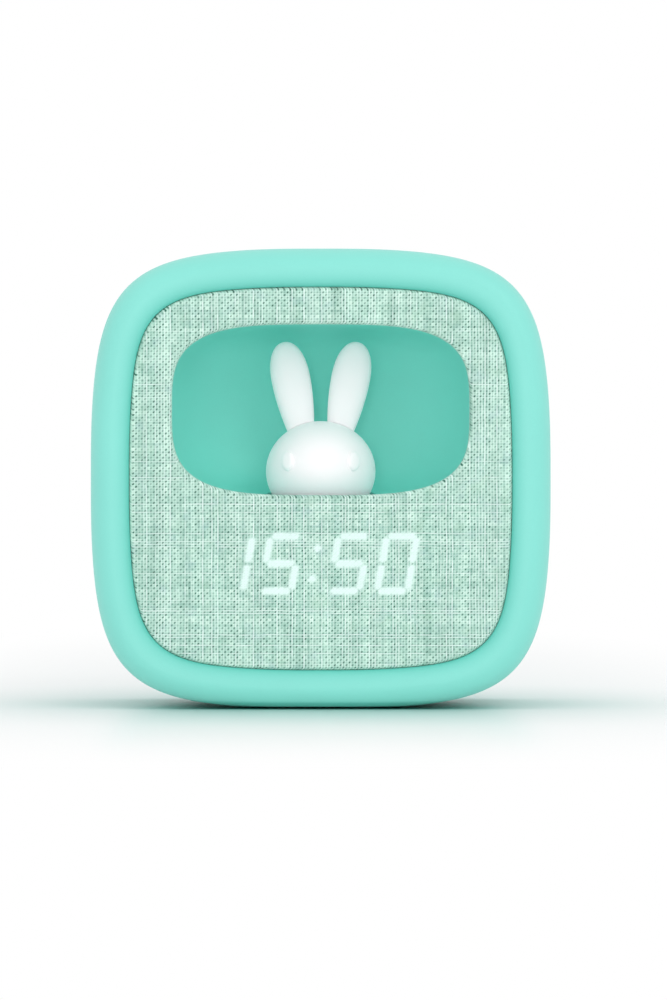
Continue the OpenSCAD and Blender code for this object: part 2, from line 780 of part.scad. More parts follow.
// Segment k of a digit
module segment(k) {
    gap = 0.35;
    flat = k == 0 || k == 3 || k == 6;
    translate(segment_places[k]) rotate(flat ? 0 : 90)
        segment_outline((flat ? segment_across : segment_up) - gap);
}

// Lean of the digits: a shear of X by Z
module leaning() {
    multmatrix([[1, tan(digit_slant), 0, 0], [0, 1, 0, 0], [0, 0, 1, 0], [0, 0, 0, 1]]) children();
}

module digit_segments(lit) {
    translate([display_x, display_z]) leaning() for (d = [0 : 3], k = [0 : 6])
        if ((len(search(k, lit_segments[d])) > 0) == lit)
            translate([digit_x[d], 0]) segment(k);
}

module colon_dots() {
    translate([display_x, display_z])
        for (p = colon_places) translate([p.y * tan(digit_slant), p.y]) circle(segment_w / 2);
}

module display_diffuser() {
    color(white) translate([display_x, 0, display_z])
        upright(panel_front_y + slack, panel_back_y)
        rounded([reflector_w - 2 * diffuser_margin - 0.2, reflector_h - 2 * diffuser_margin - 0.2], 1.9);
}

module display_reflector() {
    color(white) difference() {
        translate([display_x, 0, display_z])
            upright(panel_back_y, reflector_back_y) rounded([reflector_w, reflector_h], 1.5);
        upright(panel_back_y - cut, reflector_back_y + cut) {
            digit_segments(true);
            digit_segments(false);
            colon_dots();
        }
    }
}

module segments_lit() {
    color("white") upright(panel_back_y, reflector_back_y - led_h) {
        digit_segments(true);
        colon_dots();
    }
}

module segments_dark() {
    color([0.82, 0.85, 0.85]) upright(panel_back_y, reflector_back_y - led_h) digit_segments(false);
}

module display_board() {
    color(board_green) difference() {
        translate([display_x, 0, display_z])
            upright(reflector_back_y, display_board_back_y) rounded([display_board_w, display_board_h], 2);
        for (p = display_posts) bar_y(1, reflector_back_y - cut, display_board_back_y + cut, p.x, p.y);
    }
}

module display_leds() {
    color([0.95, 0.92, 0.7]) upright(reflector_back_y - led_h + slack, reflector_back_y)
        translate([display_x, display_z])
        for (p = concat([for (x = digit_x, p = segment_places) p + [x, 0]], colon_places))
            translate([p.x + p.y * tan(digit_slant), p.y]) square([1, 0.9], center = true);
}

module display_screws() {
    color(steel) for (p = display_posts) screw_y(p.x, display_board_back_y, p.y, 0.8, 4.5, 1.6, 0.9);
}

// ---------- Rabbit ----------

// Half outline of the head as a polygon for a solid of revolution
function head_outline(rx, rz, from, count) = [
    for (i = [0 : count]) let (t = from + (90 - from) * i / count) [rx * cos(t), rz * sin(t)]
];

module head_solid() {
    translate([0, rabbit_y, head_z]) rotate_extrude()
        polygon(concat(head_outline(head_r, head_rz, -60, 18), [[0, -0.866 * head_rz]]));
}

module rabbit_head() {
    inner = head_outline(head_r - head_wall, head_rz - head_wall, -60, 12);
    color(white) difference() {
        head_solid();
        translate([0, rabbit_y, head_z]) rotate_extrude()
            polygon(concat(inner, [[0, inner[0].y]]));
        bar_z(neck_r, neck_z - cut, head_z, 0, rabbit_y);
        for (side = [-1, 1]) ear_frame(side) bar_z(ear_spigot_r + slack, -2 * head_wall, head_rz);
    }
}

// Places its children at the foot of an ear, with the ear's length along +Z
module ear_frame(side) {
    translate([side * ear_x, ear_y, crown_z]) rotate([0, side * ear_lean, 0]) children();
}

// Half the width of an ear at a height above its foot, as a share of the widest
ear_wide_z = 0.53 * ear_h;
function ear_width(z) = z > ear_wide_z
    ? pow(max(0, 1 - pow((z - ear_wide_z) / (ear_h - ear_wide_z), 2.3)), 1 / 2.1)
    : 1 - 0.22 * pow((ear_wide_z - z) / ear_wide_z, 1.84);

module ear(side) {
    below = 7;  // length inside the head's outline, cut away along it
    count = 24;
    stations = concat(
        [for (i = [0 : 5]) -below + (ear_wide_z + below) * i / 5],
        [for (i = [1 : 6]) ear_wide_z + (ear_h - ear_wide_z) * sin(84 * i / 6)]
    );
    color(white) union() {
        difference() {
            ear_frame(side) skin([
                for (z = stations) [
                    for (j = [0 : count - 1]) let (t = 360 * j / count)
                    [ear_r * ear_width(z) * sin(t), ear_rt * pow(ear_width(z), 0.8) * cos(t), z]
                ]
            ]);
            translate([0, 0, 0.02]) head_solid();
        }
        intersection() {
            ear_frame(side) bar_z(ear_spigot_r, -1.6 * head_wall, 3);
            translate([-body_w / 2, rabbit_y - head_r, head_z]) cube([body_w, 2 * head_r, head_rz + 4]);
        }
    }
}

module left_ear() {
    ear(-1);
}

module right_ear() {
    ear(1);
}

module lamp_base() {
    color(white) difference() {
        union() {
            bar_z(lamp_flange_r, neck_z - lamp_flange_t, neck_z, 0, rabbit_y);
            bar_z(lamp_plug_r, neck_z, neck_z + lamp_plug_h, 0, rabbit_y);
        }
        bar_z(0.92, arm_top_z - cut, arm_top_z + 4.3, 0, rabbit_y);
    }
}

module lamp_board() {
    color(white) bar_z(lamp_board_r, neck_z + lamp_plug_h, neck_z + lamp_plug_h + lamp_board_t, 0, rabbit_y);
}

module lamp_leds() {
    z = neck_z + lamp_plug_h + lamp_board_t;
    color([1, 0.95, 0.75]) for (t = [0 : 90 : 270])
        translate([2.6 * cos(t) - 1, rabbit_y + 2.6 * sin(t) - 1, z]) cube([2, 2, 0.9]);
}

module lamp_screw() {
    color(steel) difference() {
        union() {
            bar_z(1.7, arm_z - 0.9, arm_z, 0, rabbit_y);
            bar_z(0.9, arm_z - slack, arm_top_z + 4, 0, rabbit_y);
        }
        translate([0, rabbit_y, arm_z - 0.9]) cube([2.2, 0.5, 0.9], center = true);
    }
}

// ---------- Lift ----------

// Rack teeth as one outline in depth and height, in step with the pinion at rest
module rack_outline() {
    addendum = 0.8 * gear_module;
    half = tooth_pitch / 4 - backlash / 2;
    lean = tan(pressure_angle);
    first = ceil((arm_z + 1.6 - pinion_z) / tooth_pitch);
    last = floor((spine_top_z - 1.6 - pinion_z) / tooth_pitch);
    polygon(concat(
        [[spine_y + slack, arm_z]],
        [[rack_root_y, arm_z]],
        [for (k = [first : last]) let (z = pinion_z + k * tooth_pitch) each [
            [rack_root_y, z - half - rack_dedendum * lean],
            [rack_pitch_y + addendum, z - half + addendum * lean],
            [rack_pitch_y + addendum, z + half - addendum * lean],
            [rack_root_y, z + half + rack_dedendum * lean]
        ]],
        [[rack_root_y, spine_top_z], [spine_y + slack, spine_top_z]]
    ));
}

// Flat shape in Y and Z, extruded from x0 to x1
module sideways(x0, x1) {
    translate([x0, 0, 0]) rotate([90, 0, 90]) linear_extrude(x1 - x0) children();
}

module lift_carriage() {
    bush_z = [arm_z + 3, spine_top_z - bush_h];
    color([0.85, 0.86, 0.87]) difference() {
        union() {
            // Arm under the lamp, with a round seat
            bar_z(lamp_flange_r, arm_z, arm_top_z, 0, rabbit_y);
            translate([-arm_w / 2, rabbit_y, arm_z]) cube([arm_w, spine_y + spine_t - rabbit_y, arm_t]);
            // Spine behind the niche
            translate([-rack_w / 2 - 1.5, spine_y, arm_z]) cube([rack_w + 3, spine_t, spine_top_z - arm_z]);
            sideways(-rack_w / 2, rack_w / 2) rack_outline();
            for (z = bush_z, sx = [-1, 1]) {
                bar_z(bush_r, z, z + bush_h, sx * rod_x, rod_y);
                translate([min(0, sx * rod_x), spine_y, z]) cube([rod_x, spine_t, bush_h]);
            }
            // Gusset between arm and spine
            sideways(-1, 1) polygon([[spine_y - 9, arm_top_z - slack], [spine_y + slack, arm_top_z - slack],
                [spine_y + slack, arm_top_z + 3.2]]);
        }
        for (sx = [-1, 1])
            bar_z(rod_r + bush_gap, arm_z - cut, spine_top_z + cut, sx * rod_x, rod_y);
        bar_z(1.05, arm_z - cut, arm_top_z + cut, 0, rabbit_y);
    }
}

module guide_rods() {
    color(steel) for (sx = [-1, 1]) bar_z(rod_r, rod_foot_z, rod_top_z, sx * rod_x, rod_y);
}

module lift_frame() {
    depth = frame_back_y - frame_front_y;
    color([0.25, 0.27, 0.29]) difference() {
        union() {
            for (sx = [-1, 1]) {
                translate([sx > 0 ? frame_x : -frame_x - strip_t, frame_front_y, frame_foot_z])
                    cube([strip_t, depth, frame_bar_z + frame_bar_t - frame_foot_z]);
                // Foot that holds the rod's lower end
                translate([sx > 0 ? rod_x - 2.6 : -frame_x - slack, frame_front_y, frame_foot_z])
                    cube([frame_x - rod_x + 2.6 + slack, depth, 2.6]);
            }
            // Tabs that are screwed to the niche
            for (p = ear_tabs)
                translate([p.x > 0 ? frame_x : p.x - post_r, frame_front_y, p.y - 4])
                    cube([ear_tab_x + post_r - frame_x, tab_t, 8]);
            translate([-frame_x - strip_t, frame_front_y, frame_bar_z])
                cube([2 * (frame_x + strip_t), depth, frame_bar_t]);
            // Cradle for the motor
            translate([cradle_x - slack, frame_front_y, cradle_z[0]])
                cube([cradle_w + slack, pinion_y - gearbox_size.y / 2 - frame_front_y, cradle_h]);
            for (z = cradle_z)
                translate([cradle_x, frame_front_y, z])
                    cube([cradle_w, pinion_y + 2 - frame_front_y, cradle_lip_t - slack]);
        }
        for (sx = [-1, 1]) bar_z(rod_r + shaft_gap, rod_foot_z, rod_top_z, sx * rod_x, rod_y);
        for (p = ear_tabs) bar_y(1.1, frame_front_y - cut, frame_front_y + tab_t + cut, p.x, p.y);
        for (p = clamp_places) bar_y(0.92, pinion_y - 4, pinion_y + 2 + cut, p.x, p.y);
    }
}

module frame_screws() {
    color(steel) for (p = ear_tabs) screw_y(p.x, frame_front_y + tab_t, p.y, 0.8, tab_t + 2, 1.8, 1);
}

// Half the angle that an involute tooth of the pinion fills at a radius
pinion_base_r = pinion_r * cos(pressure_angle);
function involute(a) = tan(a) * 180 / PI - a;
function tooth_half(r) =
    90 / pinion_teeth - backlash / 4 / pinion_r * 180 / PI
    + involute(pressure_angle) - involute(acos(min(1, pinion_base_r / r)));

module pinion_outline() {
    root_r = pinion_r - 1.15 * gear_module;
    tip_r = pinion_r + gear_module;
    flank = concat([root_r], [for (i = [0 : 4]) pinion_base_r + (tip_r - pinion_base_r) * i / 4]);
    polygon([
        for (k = [0 : pinion_teeth - 1]) let (mid = 180 + 360 * (k + 0.5) / pinion_teeth) each concat(
            [for (r = flank) let (t = mid - tooth_half(r)) r * [cos(t), sin(t)]],
            [for (i = [5 : -1 : 0]) let (r = flank[i], t = mid + tooth_half(r)) r * [cos(t), sin(t)]]
        )
    ]);
}

module drive_pinion() {
    color(white) translate([0, pinion_y, pinion_z]) difference() {
        union() {
            sideways(-rack_w / 2 - 0.3, rack_w / 2 + 0.3) pinion_outline();
            bar_x(3, rack_w / 2, rack_w / 2 + 1.6);
        }
        bar_x(shaft_r + shaft_gap, -rack_w, rack_w);
    }
}

module pinion_shaft() {
    color(steel) bar_x(shaft_r, -rack_w / 2 - 0.6, gearbox_x + bearing_depth - slack, pinion_y, pinion_z);
}

module gearbox() {
    color(brass) difference() {
        translate([gearbox_x, pinion_y - gearbox_size.y / 2, pinion_z - gearbox_size.z / 2]) union() {
            cube([1, gearbox_size.y, gearbox_size.z]);
            translate([1, 0.8, 0.8]) cube([gearbox_size.x - 2, gearbox_size.y - 1.6, gearbox_size.z - 1.6]);
            translate([gearbox_size.x - 1, 0, 0]) cube([1, gearbox_size.y, gearbox_size.z]);
        }
        bar_x(shaft_r + shaft_gap, gearbox_x - cut, gearbox_x + bearing_depth, pinion_y, pinion_z);
    }
}

module motor_can() {
    color(steel) union() {
        intersection() {
            bar_x(gearbox_size.z / 2, can_x, can_x + can_l, pinion_y, pinion_z);
            translate([can_x, pinion_y - gearbox_size.y / 2, pinion_z - gearbox_size.z / 2])
                cube([can_l, gearbox_size.y, gearbox_size.z]);
        }
        bar_x(2.2, can_x + can_l - slack, can_x + can_l + 1.2, pinion_y, pinion_z);
    }
}

module motor_clamp() {
    back = pinion_y + gearbox_size.y / 2;
    color(steel) difference() {
        union() {
            translate([cradle_x + 1, back, cradle_z[0]]) cube([cradle_w - 2, clamp_t, cradle_h]);
            for (z = cradle_z)
                translate([cradle_x + 1, pinion_y + 2, z])
                    cube([cradle_w - 2, gearbox_size.y / 2 - 2 + slack, cradle_lip_t - slack]);
        }
        for (p = clamp_places) bar_y(1.1, pinion_y, back + clamp_t + cut, p.x, p.y);
    }
}

module clamp_screws() {
    head_y = pinion_y + gearbox_size.y / 2 + clamp_t;
    color(steel) for (p = clamp_places) screw_y(p.x, head_y, p.y, 0.9, 7, 1.8, 0.8);
}

// ---------- Controls ----------

module control_board() {
    color(board_green) difference() {
        translate([0, 0, control_board_z])
            upright(control_board_y, control_board_back_y) rounded(control_board_size, 1.5);
        for (place = board_posts)
            bar_y(1.05, control_board_y - cut, control_board_back_y + cut, place.x, place.y);
    }
}

module control_chip() {
    color(black) for (x = [(button_x[1] + button_x[2]) / 2, (button_x[3] + button_x[4]) / 2])
        translate([x - chip_w / 2, control_board_y - chip_t, button_z - chip_w / 2])
            cube([chip_w, chip_t, chip_w]);
}

module tact_switches() {
    color(black) for (x = button_x) difference() {
        translate([x - tact_size / 2, control_board_back_y, button_z - tact_size / 2])
            cube([tact_size, tact_h, tact_size]);
        bar_y(plunger_r + slack, control_board_back_y + 1, control_board_back_y + tact_h + cut, x, button_z);
    }
}

module board_screws() {
    color(steel) for (place = board_posts)
        translate([place.x, control_board_y, place.y]) rotate([0, 0, 180])
            screw_y(0, 0, 0, 0.9, board_t + 5, 1.8, 1);
}

module push_button(i) {
    flange_back_y = plunger_top_y + button_flange_t;
    color(teal) union() {
        bar_y(button_r, plunger_top_y, pocket_floor_y + button_proud, button_x[i], button_z);
        bar_y(button_flange_r, plunger_top_y, flange_back_y, button_x[i], button_z);
    }
}

module plunger(i) {
    foot_y = control_board_back_y + 1 + button_travel + slack;
    color(white) bar_y(plunger_r, foot_y, plunger_top_y, button_x[i], button_z);
}

module button_light() { push_button(0); }
module button_minus() { push_button(1); }
module button_set() { push_button(2); }
module button_plus() { push_button(3); }
module button_alarm() { push_button(4); }
module plunger_light() { plunger(0); }
module plunger_minus() { plunger(1); }
module plunger_set() { plunger(2); }
module plunger_plus() { plunger(3); }
module plunger_alarm() { plunger(4); }

module alarm_switch_knob() {
    body_back = control_board_back_y + switch_body_t;
    color(white) union() {
        translate([switch_rest_x, 0, button_z])
            upright(body_back - 1, pocket_floor_y + button_proud) square(knob_size, center = true);
        translate([switch_rest_x, 0, button_z])
            upright(body_back + slack, body_back + 1) square(knob_size + [3, 2], center = true);
    }
}

module alarm_switch_body() {
    body_back = control_board_back_y + switch_body_t;
    color(steel) difference() {
        translate([switch_x, 0, button_z])
            upright(control_board_back_y, body_back)
            square([knob_size.x + switch_travel + 4, 6], center = true);
        translate([switch_x, 0, button_z])
            upright(body_back - 1.5, body_back + cut)
            square([knob_size.x + switch_travel + 0.4, knob_size.y + 0.4], center = true);
    }
}

// ---------- Loudspeaker ----------

module speaker_ring_solid(points) {
    translate([speaker_x, 0, speaker_z]) rotate([-90, 0, 0]) rotate_extrude() polygon(points);
}

module speaker_frame() {
    seat_y = magnet_y + magnet_t;
    color(black) speaker_ring_solid([
        [magnet_r - 3, seat_y], [magnet_r + 1, seat_y], [speaker_r - 2.5, speaker_front_y - 1.4],
        [speaker_r, speaker_front_y - 1.4], [speaker_r, speaker_front_y], [speaker_r - 3, speaker_front_y],
        [speaker_r - 3, speaker_front_y - 0.85], [speaker_r - 3.9, speaker_front_y - 0.85],
        [magnet_r + 0.2, seat_y + 1.2], [magnet_r - 3, seat_y + 1.2]
    ]);
}

module speaker_cone() {
    coil_r = 4;
    coil_y = magnet_y + magnet_t + 0.3;
    color([0.22, 0.22, 0.24]) speaker_ring_solid([for (p = [
        [0, -3.2], [coil_r - 0.6, -3.7], [coil_r, -4], [coil_r, coil_y - speaker_front_y],
        [coil_r + 0.6, coil_y - speaker_front_y], [coil_r + 0.6, -4.4], [speaker_r - 5, -0.95],
        [speaker_r - 4, -0.8], [speaker_r - 3 - slack, -0.8], [speaker_r - 3 - slack, -0.4],
        [speaker_r - 4.2, -0.3], [speaker_r - 5.4, -0.5], [coil_r + 0.6, -3.6], [coil_r - 0.6, -3], [0, -2.5]
    ]) [p.x, speaker_front_y + p.y]]);
}

module speaker_magnet() {
    color(steel) bar_y(magnet_r, magnet_y, magnet_y + magnet_t, speaker_x, speaker_z);
}

module speaker_gasket() {
    color(black) difference() {
        bar_y(speaker_r, speaker_front_y, speaker_face_y, speaker_x, speaker_z);
        bar_y(speaker_r - 2.2, speaker_front_y - cut, speaker_face_y + cut, speaker_x, speaker_z);
    }
}

// ---------- Power ----------

module power_board() {
    color(board_green) difference() {
        translate([power_x - power_size.x / 2, power_y, power_z]) cube([power_size.x, power_size.y, board_t]);
        for (place = power_posts) bar_z(1.05, power_z - cut, power_z + board_t + cut, place.x, place.y);
    }
}

module usb_socket() {
    color(steel) translate([power_x, 0, usb_z]) difference() {
        upright(usb_back_y - usb_d, usb_back_y) stadium(usb_size.x, usb_size.y);
        upright(usb_back_y - usb_d + 1, usb_back_y + cut) stadium(usb_size.x - 0.6, usb_size.y - 0.6);
    }
    color(black) translate([power_x, 0, usb_z])
        upright(usb_back_y - usb_d + 0.9, usb_back_y - 1) square([6.4, 0.7], center = true);
}

module power_parts() {
    top = power_z + board_t;
    color(black) {
        translate([power_x - chip_w / 2, power_y + 0.45 * power_size.y, top]) cube([chip_w, chip_w, chip_t]);
        translate([power_x - 3, power_y + 1, top]) cube([7, 5, 4]);
        for (side = [-1, 1])
            bar_z(capacitor_r, top, top + 5.5, power_x + side * 1.6 * capacitor_r, power_y + 0.3 * power_size.y);
    }
}

module power_screws() {
    top = power_z + board_t;
    color(steel) for (place = power_posts)
        difference() {
            union() {
                bar_z(1.6, top, top + 1, place.x, place.y);
                bar_z(0.9, top - 6.5, top + slack, place.x, place.y);
            }
            translate([place.x, place.y, top + 1]) cube([2.2, 0.5, 1], center = true);
        }
}

module battery_cell() {
    color([0.55, 0.62, 0.68])
        translate(battery_pos + [battery_size.x / 2, 0, battery_size.z / 2])
        upright(0, battery_size.y) rounded([battery_size.x, battery_size.z], 2.5);
}

// Double-sided pad that holds the battery on its ribs
module battery_pad() {
    edge = 3;
    color(white) translate(battery_pos + [-battery_pad_t, 1, edge])
        cube([battery_pad_t, battery_size.y - 2, battery_size.z - 2 * edge]);
}

housing();
rear_cover();
feet();
front_panel();
cloth_cover();
niche_liner();
display_diffuser();
display_reflector();
segments_lit();
segments_dark();
display_board();
display_leds();
display_screws();
rabbit_head();
left_ear();
right_ear();
lamp_base();
lamp_board();
lamp_leds();
lamp_screw();
lift_carriage();
guide_rods();
lift_frame();
frame_screws();
drive_pinion();
pinion_shaft();
gearbox();
motor_can();
motor_clamp();
clamp_screws();
control_board();
control_chip();
tact_switches();
board_screws();
button_light();
button_minus();
button_set();
button_plus();
button_alarm();
plunger_light();
plunger_minus();
plunger_set();
plunger_plus();
plunger_alarm();
alarm_switch_knob();
alarm_switch_body();
speaker_frame();
speaker_cone();
speaker_magnet();
speaker_gasket();
power_board();
usb_socket();
power_parts();
power_screws();
battery_cell();
battery_pad();
cover_screws();
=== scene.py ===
"""Dresses the frame of a bedside alarm clock: casing, linen front, niche, rabbit, controls and a studio"""

import json
import math

import bmesh
import bpy
import numpy as np
from bpy.props import FloatProperty, FloatVectorProperty, IntProperty, PointerProperty
from bpy.types import Operator, Panel, PropertyGroup
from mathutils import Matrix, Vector


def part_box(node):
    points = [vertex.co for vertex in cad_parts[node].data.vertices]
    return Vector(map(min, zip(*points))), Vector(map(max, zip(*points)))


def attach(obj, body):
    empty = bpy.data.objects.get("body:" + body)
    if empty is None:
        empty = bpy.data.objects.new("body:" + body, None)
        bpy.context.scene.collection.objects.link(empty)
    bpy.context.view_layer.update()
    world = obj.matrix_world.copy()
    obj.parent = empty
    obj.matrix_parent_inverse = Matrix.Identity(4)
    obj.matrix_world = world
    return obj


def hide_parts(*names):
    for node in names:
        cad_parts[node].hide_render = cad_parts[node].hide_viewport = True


bl_info = {
    "name": "Rabbit Alarm Clock",
    "version": (1, 0, 0),
    "blender": (4, 5, 0),
    "location": "View3D > Sidebar > Clock",
    "description": "Models and finishes a bedside clock with a lit rabbit in its window",
    "category": "Object",
}

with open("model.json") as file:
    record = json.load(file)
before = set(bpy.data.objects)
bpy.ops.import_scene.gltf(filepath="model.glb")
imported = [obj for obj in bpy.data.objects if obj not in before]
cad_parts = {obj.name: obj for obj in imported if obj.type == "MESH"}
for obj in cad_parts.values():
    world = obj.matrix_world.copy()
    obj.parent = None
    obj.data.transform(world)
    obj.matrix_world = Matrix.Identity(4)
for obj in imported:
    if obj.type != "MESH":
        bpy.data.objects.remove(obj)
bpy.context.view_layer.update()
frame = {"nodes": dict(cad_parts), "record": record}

MM = 0.001
OUTLINE = 288          # points round the body
NICHE_POINTS = 224     # points round the niche
ROUND = 64             # points round a small turned part
KEYS = ("light", "minus", "set", "plus", "alarm")

# Radii in millimetres of parts whose places are read from their node's box
COVER_SCREW_R = 2.8
BOARD_SCREW_R = 1.8
POWER_SCREW_R = 1.6
FOOT_R = 4.0


# ---------------- sizes and colours


def length(name, description, millimetres):
    """A length property with its default given in millimetres"""
    return FloatProperty(name=name, description=description, default=millimetres * MM, unit="LENGTH",
                         precision=5, min=0.0)


def colour(name, description, rgb):
    """A colour property in linear light"""
    return FloatVectorProperty(name=name, description=description, default=rgb, subtype="COLOR",
                               size=3, min=0.0, max=1.0)


def exponent(name, description, value):
    """A superellipse exponent: 2 gives an ellipse, and a higher one gives squarer corners"""
    return FloatProperty(name=name, description=description, default=value, min=2, max=8)


def drop(name, value):
    """How much such an exponent drops towards the middle of a side"""
    return FloatProperty(name=name, description="Drop of that exponent in the middle of a side",
                         default=value, min=0, max=2)


def tilt(name, description, degrees):
    """An angle property with its default given in degrees"""
    return FloatProperty(name=name, description=description, default=math.radians(degrees), subtype="ANGLE")


class ClockSizes(PropertyGroup):
    """Sizes that the frame's boxes don't give"""

    taper: length("Taper", "How much each side draws in towards the back", 1.6)
    shoulder: length("Shoulder", "Depth over which the front rim turns into the side", 8)
    wall: length("Wall", "Wall of the casing and the rear shell", 2.4)
    rim: length("Rim", "Width of the rim round the linen", 10.2)
    rim_crest: length("Rim crest", "Distance from the side to the rim's crest", 5.6)
    rim_roll: length("Rim roll", "Depth from the crest to the opening's wall", 2.4)
    ledge: length("Ledge", "Width of the ledge that carries the panel", 3.35)
    rear_round: length("Rear round", "Radius of the rear shell's edge", 10)
    base_flat: length("Base flat", "Height of the flat on the underside", 0.6)
    linen: length("Linen", "Thickness of the cloth", 0.5)
    panel: length("Panel", "Thickness of the board under the cloth", 2.2)
    thread: length("Thread", "Distance from one upright thread to the next", 0.771)
    thread_row: length("Thread row", "Distance from one level thread to the next", 0.692)
    window_w: length("Window width", "Width of the window", 77.4)
    window_h: length("Window height", "Height of the window", 44.4)
    niche_wall: length("Niche wall", "Wall of the niche", 1.6)
    digit_h: length("Digit height", "Height of a digit", 16.1)
    digit_w: length("Digit width", "Width of a digit", 9.7)
    segment: length("Segment", "Width of a segment", 1.9)
    digit_pitch: length("Digit pitch", "Distance from one digit to the next", 12.5)
    colon_space: length("Colon space", "Extra room for the colon", 5.2)
    ear_r: length("Ear width", "Half the width of an ear", 5.15)
    ear_rt: length("Ear thickness", "Half the thickness of an ear", 2.9)
    ear_gap: length("Ear gap", "Gap between the ears' tips and the window's top", 3.9)
    ear_x: length("Ear place", "Distance of an ear's foot from the middle", 5.7)
    ear_back: length("Ear setback", "How far the ears stand behind the head's centre", 3)
    body_power: exponent("Body squareness", "Exponent of the body's outline at its corners", 3.9)
    side_bow: drop("Side bow", 0.65)
    opening_power: exponent("Opening squareness", "Exponent of the opening's outline at its corners", 4.45)
    opening_bow: drop("Opening bow", 1.25)
    rear_power: exponent("Rear squareness", "Exponent of the rear face's outline", 3.6)
    window_power: exponent("Window squareness", "Exponent of the window's outline", 3.5)
    slant: tilt("Slant", "Lean of the digits", 10)
    ear_lean: tilt("Ear lean", "Lean of an ear", 11.2)
    grille_rings: IntProperty(name="Grille rings", description="Rings of holes in the grille", default=4,
                              min=1, max=4)


class ClockColours(PropertyGroup):
    """Colours of the clock, in linear light"""

    shell: colour("Shell", "Soft-touch casing", (0.241, 0.741, 0.652))
    niche: colour("Niche", "Cove behind the window", (0.258, 0.812, 0.715))
    thread_light: colour("Thread, light", "Threads that run up", (0.495, 0.738, 0.636))
    thread_mid: colour("Thread, mid", "Threads that run across", (0.455, 0.695, 0.594))
    thread_pale: colour("Thread, pale", "The odd thread that is nearly white", (0.800, 0.935, 0.900))
    thread_fleck: colour("Thread, fleck", "Bluish flecks in the yarn", (0.370, 0.540, 0.600))
    thread_moss: colour("Thread, moss", "Greenish flecks in the yarn", (0.370, 0.610, 0.450))
    # Painted shade: the dark colour painted into the hollows between the threads of the linen
    thread_dark: colour("Thread, dark", "Hollows between the threads", (0.030, 0.150, 0.105))
    glow: colour("Glow", "Light of the digits through the linen", (0.735, 0.910, 0.870))
    rabbit: colour("Rabbit", "Translucent silicone", (0.905, 0.872, 0.888))
    panel: colour("Panel", "White moulded parts", (0.800, 0.810, 0.815))
    dark: colour("Mechanism", "Dark moulded parts", (0.035, 0.037, 0.042))
    board: colour("Board", "Solder mask", (0.012, 0.110, 0.045))


# ---------------- outlines, in millimetres


def superellipse(a, b, power, count=OUTLINE, bow=0.0):
    """Points of a superellipse at even polar angles. Its power drops by the bow in the middle of a side."""
    t = np.linspace(0, 2 * np.pi, count, endpoint=False)
    power = power - bow * (1 - abs(np.sin(2 * t)) ** 3)
    r = ((abs(np.cos(t)) / a) ** power + (abs(np.sin(t)) / b) ** power) ** (-1 / power)
    return np.stack([r * np.cos(t), r * np.sin(t)], axis=1)


def rounded_rectangle(width, height, radius, steps=12):
    """Points of a rectangle with round corners"""
    corners = [(1, 1, 0), (-1, 1, 90), (-1, -1, 180), (1, -1, 270)]
    return np.array([
        (sx * (width / 2 - radius) + radius * math.cos(math.radians(start + 90 * i / steps)),
         sy * (height / 2 - radius) + radius * math.sin(math.radians(start + 90 * i / steps)))
        for sx, sy, start in corners for i in range(steps + 1)])


def circle(radius, count=ROUND):
    """Points of a circle"""
    t = np.linspace(0, 2 * np.pi, count, endpoint=False)
    return np.stack([radius * np.cos(t), radius * np.sin(t)], axis=1)


def upright(outline, y, x=0.0, z=0.0):
    """A flat outline stood across the depth axis"""
    return np.array([(x + px, y, z + pz) for px, pz in outline])


def arc(start, end, steps):
    """Even angles from start to end degrees, as pairs of sine and cosine"""
    return [(math.sin(a), math.cos(a)) for a in np.radians(np.linspace(start, end, steps + 1))]


